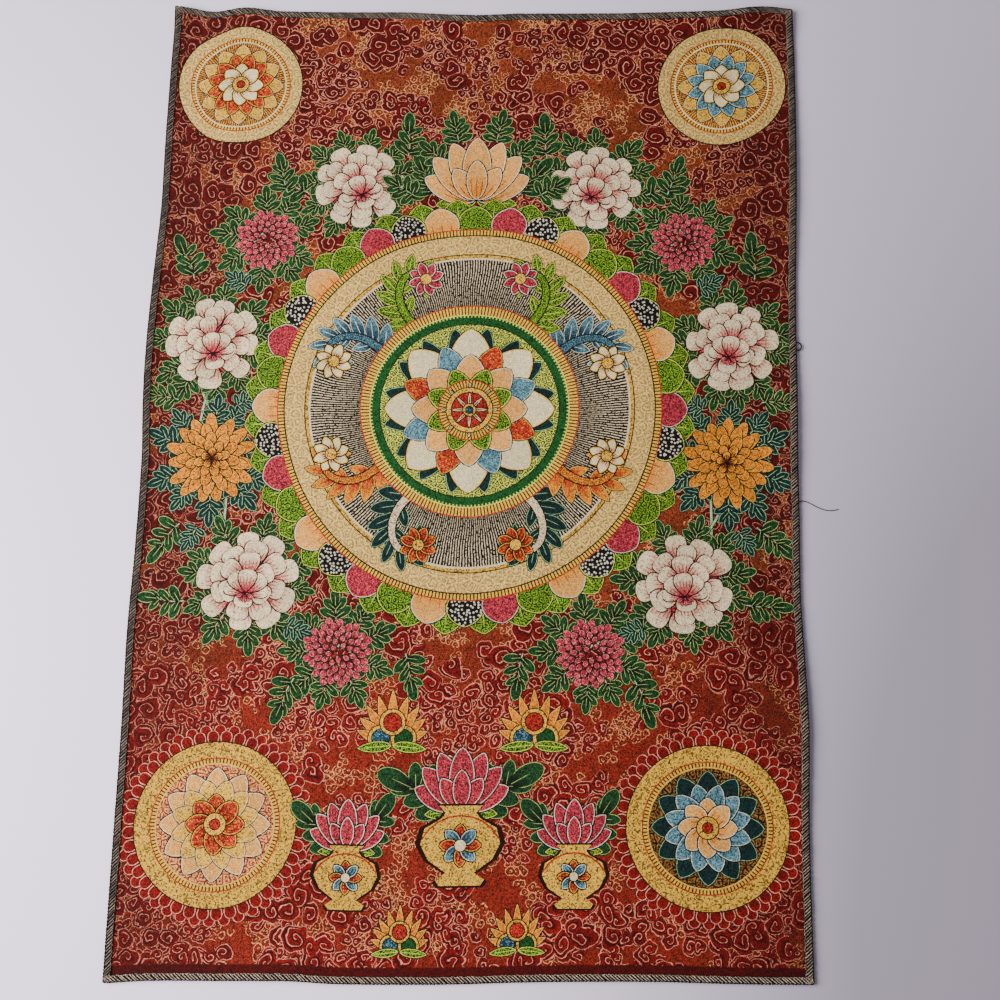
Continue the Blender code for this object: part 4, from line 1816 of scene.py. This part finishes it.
def set_lights(scene):
    world = bpy.data.worlds.new("studio")
    world.use_nodes = True
    back = world.node_tree.nodes["Background"]
    back.inputs["Color"].default_value = STUDIO_COLOUR
    back.inputs["Strength"].default_value = STUDIO_STRENGTH
    scene.world = world
    for name, form in LAMPS.items():
        lamp = bpy.data.lights.new(name, "AREA")
        lamp.shape, lamp.size = "DISK", form.size
        lamp.energy, lamp.color = form.power, form.colour
        light = bpy.data.objects.new(name, lamp)
        light.location = form.place
        light.rotation_euler = (-Vector(form.place)).to_track_quat("-Z", "Y").to_euler()
        scene.collection.objects.link(light)


# ---------------------------------------------------------------------------------------
# Operators
# ---------------------------------------------------------------------------------------


class BROCADE_OT_stage(bpy.types.Operator):
    """Lay the pale floor and set the camera and the soft lights"""

    bl_idname = "brocade.stage"
    bl_label = "Stage"

    def execute(self, context):
        set_camera(context.scene)
        floor = lay_floor(context)
        floor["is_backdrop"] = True
        set_lights(context.scene)
        return {"FINISHED"}


class BROCADE_OT_thread(bpy.types.Operator):
    """Lay the loose tail of thread beside the right-hand side"""

    bl_idname = "brocade.thread"
    bl_label = "Loose Thread"

    def execute(self, context):
        material = thread_material("loose thread", "ink", "ink", toned=False)
        tail, leaves_at, length = make_thread(context, material)
        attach(tail, "root")
        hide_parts("loose_thread")
        tuple(leaves_at)
        return {"FINISHED"}


class BROCADE_OT_overlock(bpy.types.Operator):
    """Stitch the overlocked edge along the four sides"""

    bl_idname = "brocade.overlock"
    bl_label = "Overlock"

    def execute(self, context):
        olive = (*context.scene.brocade_colours.overlock, 1.0)
        materials = [
            thread_material("cover thread", "tan_thread", "dark_thread"),
            thread_material("steep thread", olive, "dark_thread"),
            thread_material("needle thread", "tan_thread", "dark_thread"),
            thread_material("rim thread", "ink", "ink"),
            # The bed is ink: thread under the stitches, coloured as painted shade for the gaps between
            # them.
            thread_material("thread bed in painted shade", "ink", "ink"),
        ]
        for side in SIDES:
            overlock = make_overlock(context, side, materials)
            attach(overlock, "root")
            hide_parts(f"edge_{side}")
        return {"FINISHED"}


class BROCADE_OT_cloth(bpy.types.Operator):
    """Weave the cloth with its figures and lay it on its stitched edge"""

    bl_idname = "brocade.cloth"
    bl_label = "Woven Cloth"

    def execute(self, context):
        cloth = make_cloth(context)
        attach(cloth, "root")
        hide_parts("cloth")
        stitched = [bpy.data.objects[f"overlock_{side}"] for side in SIDES]
        return {"FINISHED"}


class BROCADE_PT_panel(bpy.types.Panel):
    """Lists the operators that make the cloth, in their order"""

    bl_idname = "BROCADE_PT_panel"
    bl_label = "Woven Picture Cloth"
    bl_space_type = "VIEW_3D"
    bl_region_type = "UI"
    bl_category = "Brocade"

    def draw(self, context):
        for operator in OPERATORS:
            self.layout.operator(operator.bl_idname)
        for group in (context.scene.brocade_sizes, context.scene.brocade_colours):
            for name in group.__annotations__:
                self.layout.prop(group, name)


OPERATORS = (
    BROCADE_OT_stage,
    BROCADE_OT_thread,
    BROCADE_OT_overlock,
    BROCADE_OT_cloth,
)
CLASSES = (BrocadeSizes, BrocadeColours, *OPERATORS, BROCADE_PT_panel)


def register():
    for cls in CLASSES:
        bpy.utils.register_class(cls)
    bpy.types.Scene.brocade_sizes = bpy.props.PointerProperty(type=BrocadeSizes)
    bpy.types.Scene.brocade_colours = bpy.props.PointerProperty(type=BrocadeColours)


def unregister():
    del bpy.types.Scene.brocade_colours
    del bpy.types.Scene.brocade_sizes
    for cls in reversed(CLASSES):
        bpy.utils.unregister_class(cls)


def main():
    register()
    bpy.ops.brocade.stage()
    bpy.ops.brocade.thread()
    bpy.ops.brocade.overlock()
    bpy.ops.brocade.cloth()
    boxes = {"cad": CAD_BOX, "visual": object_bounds()}
    {k: [[float(c) for c in p] for p in box] for k, box in boxes.items()}


if __name__ == "__main__":
    main()
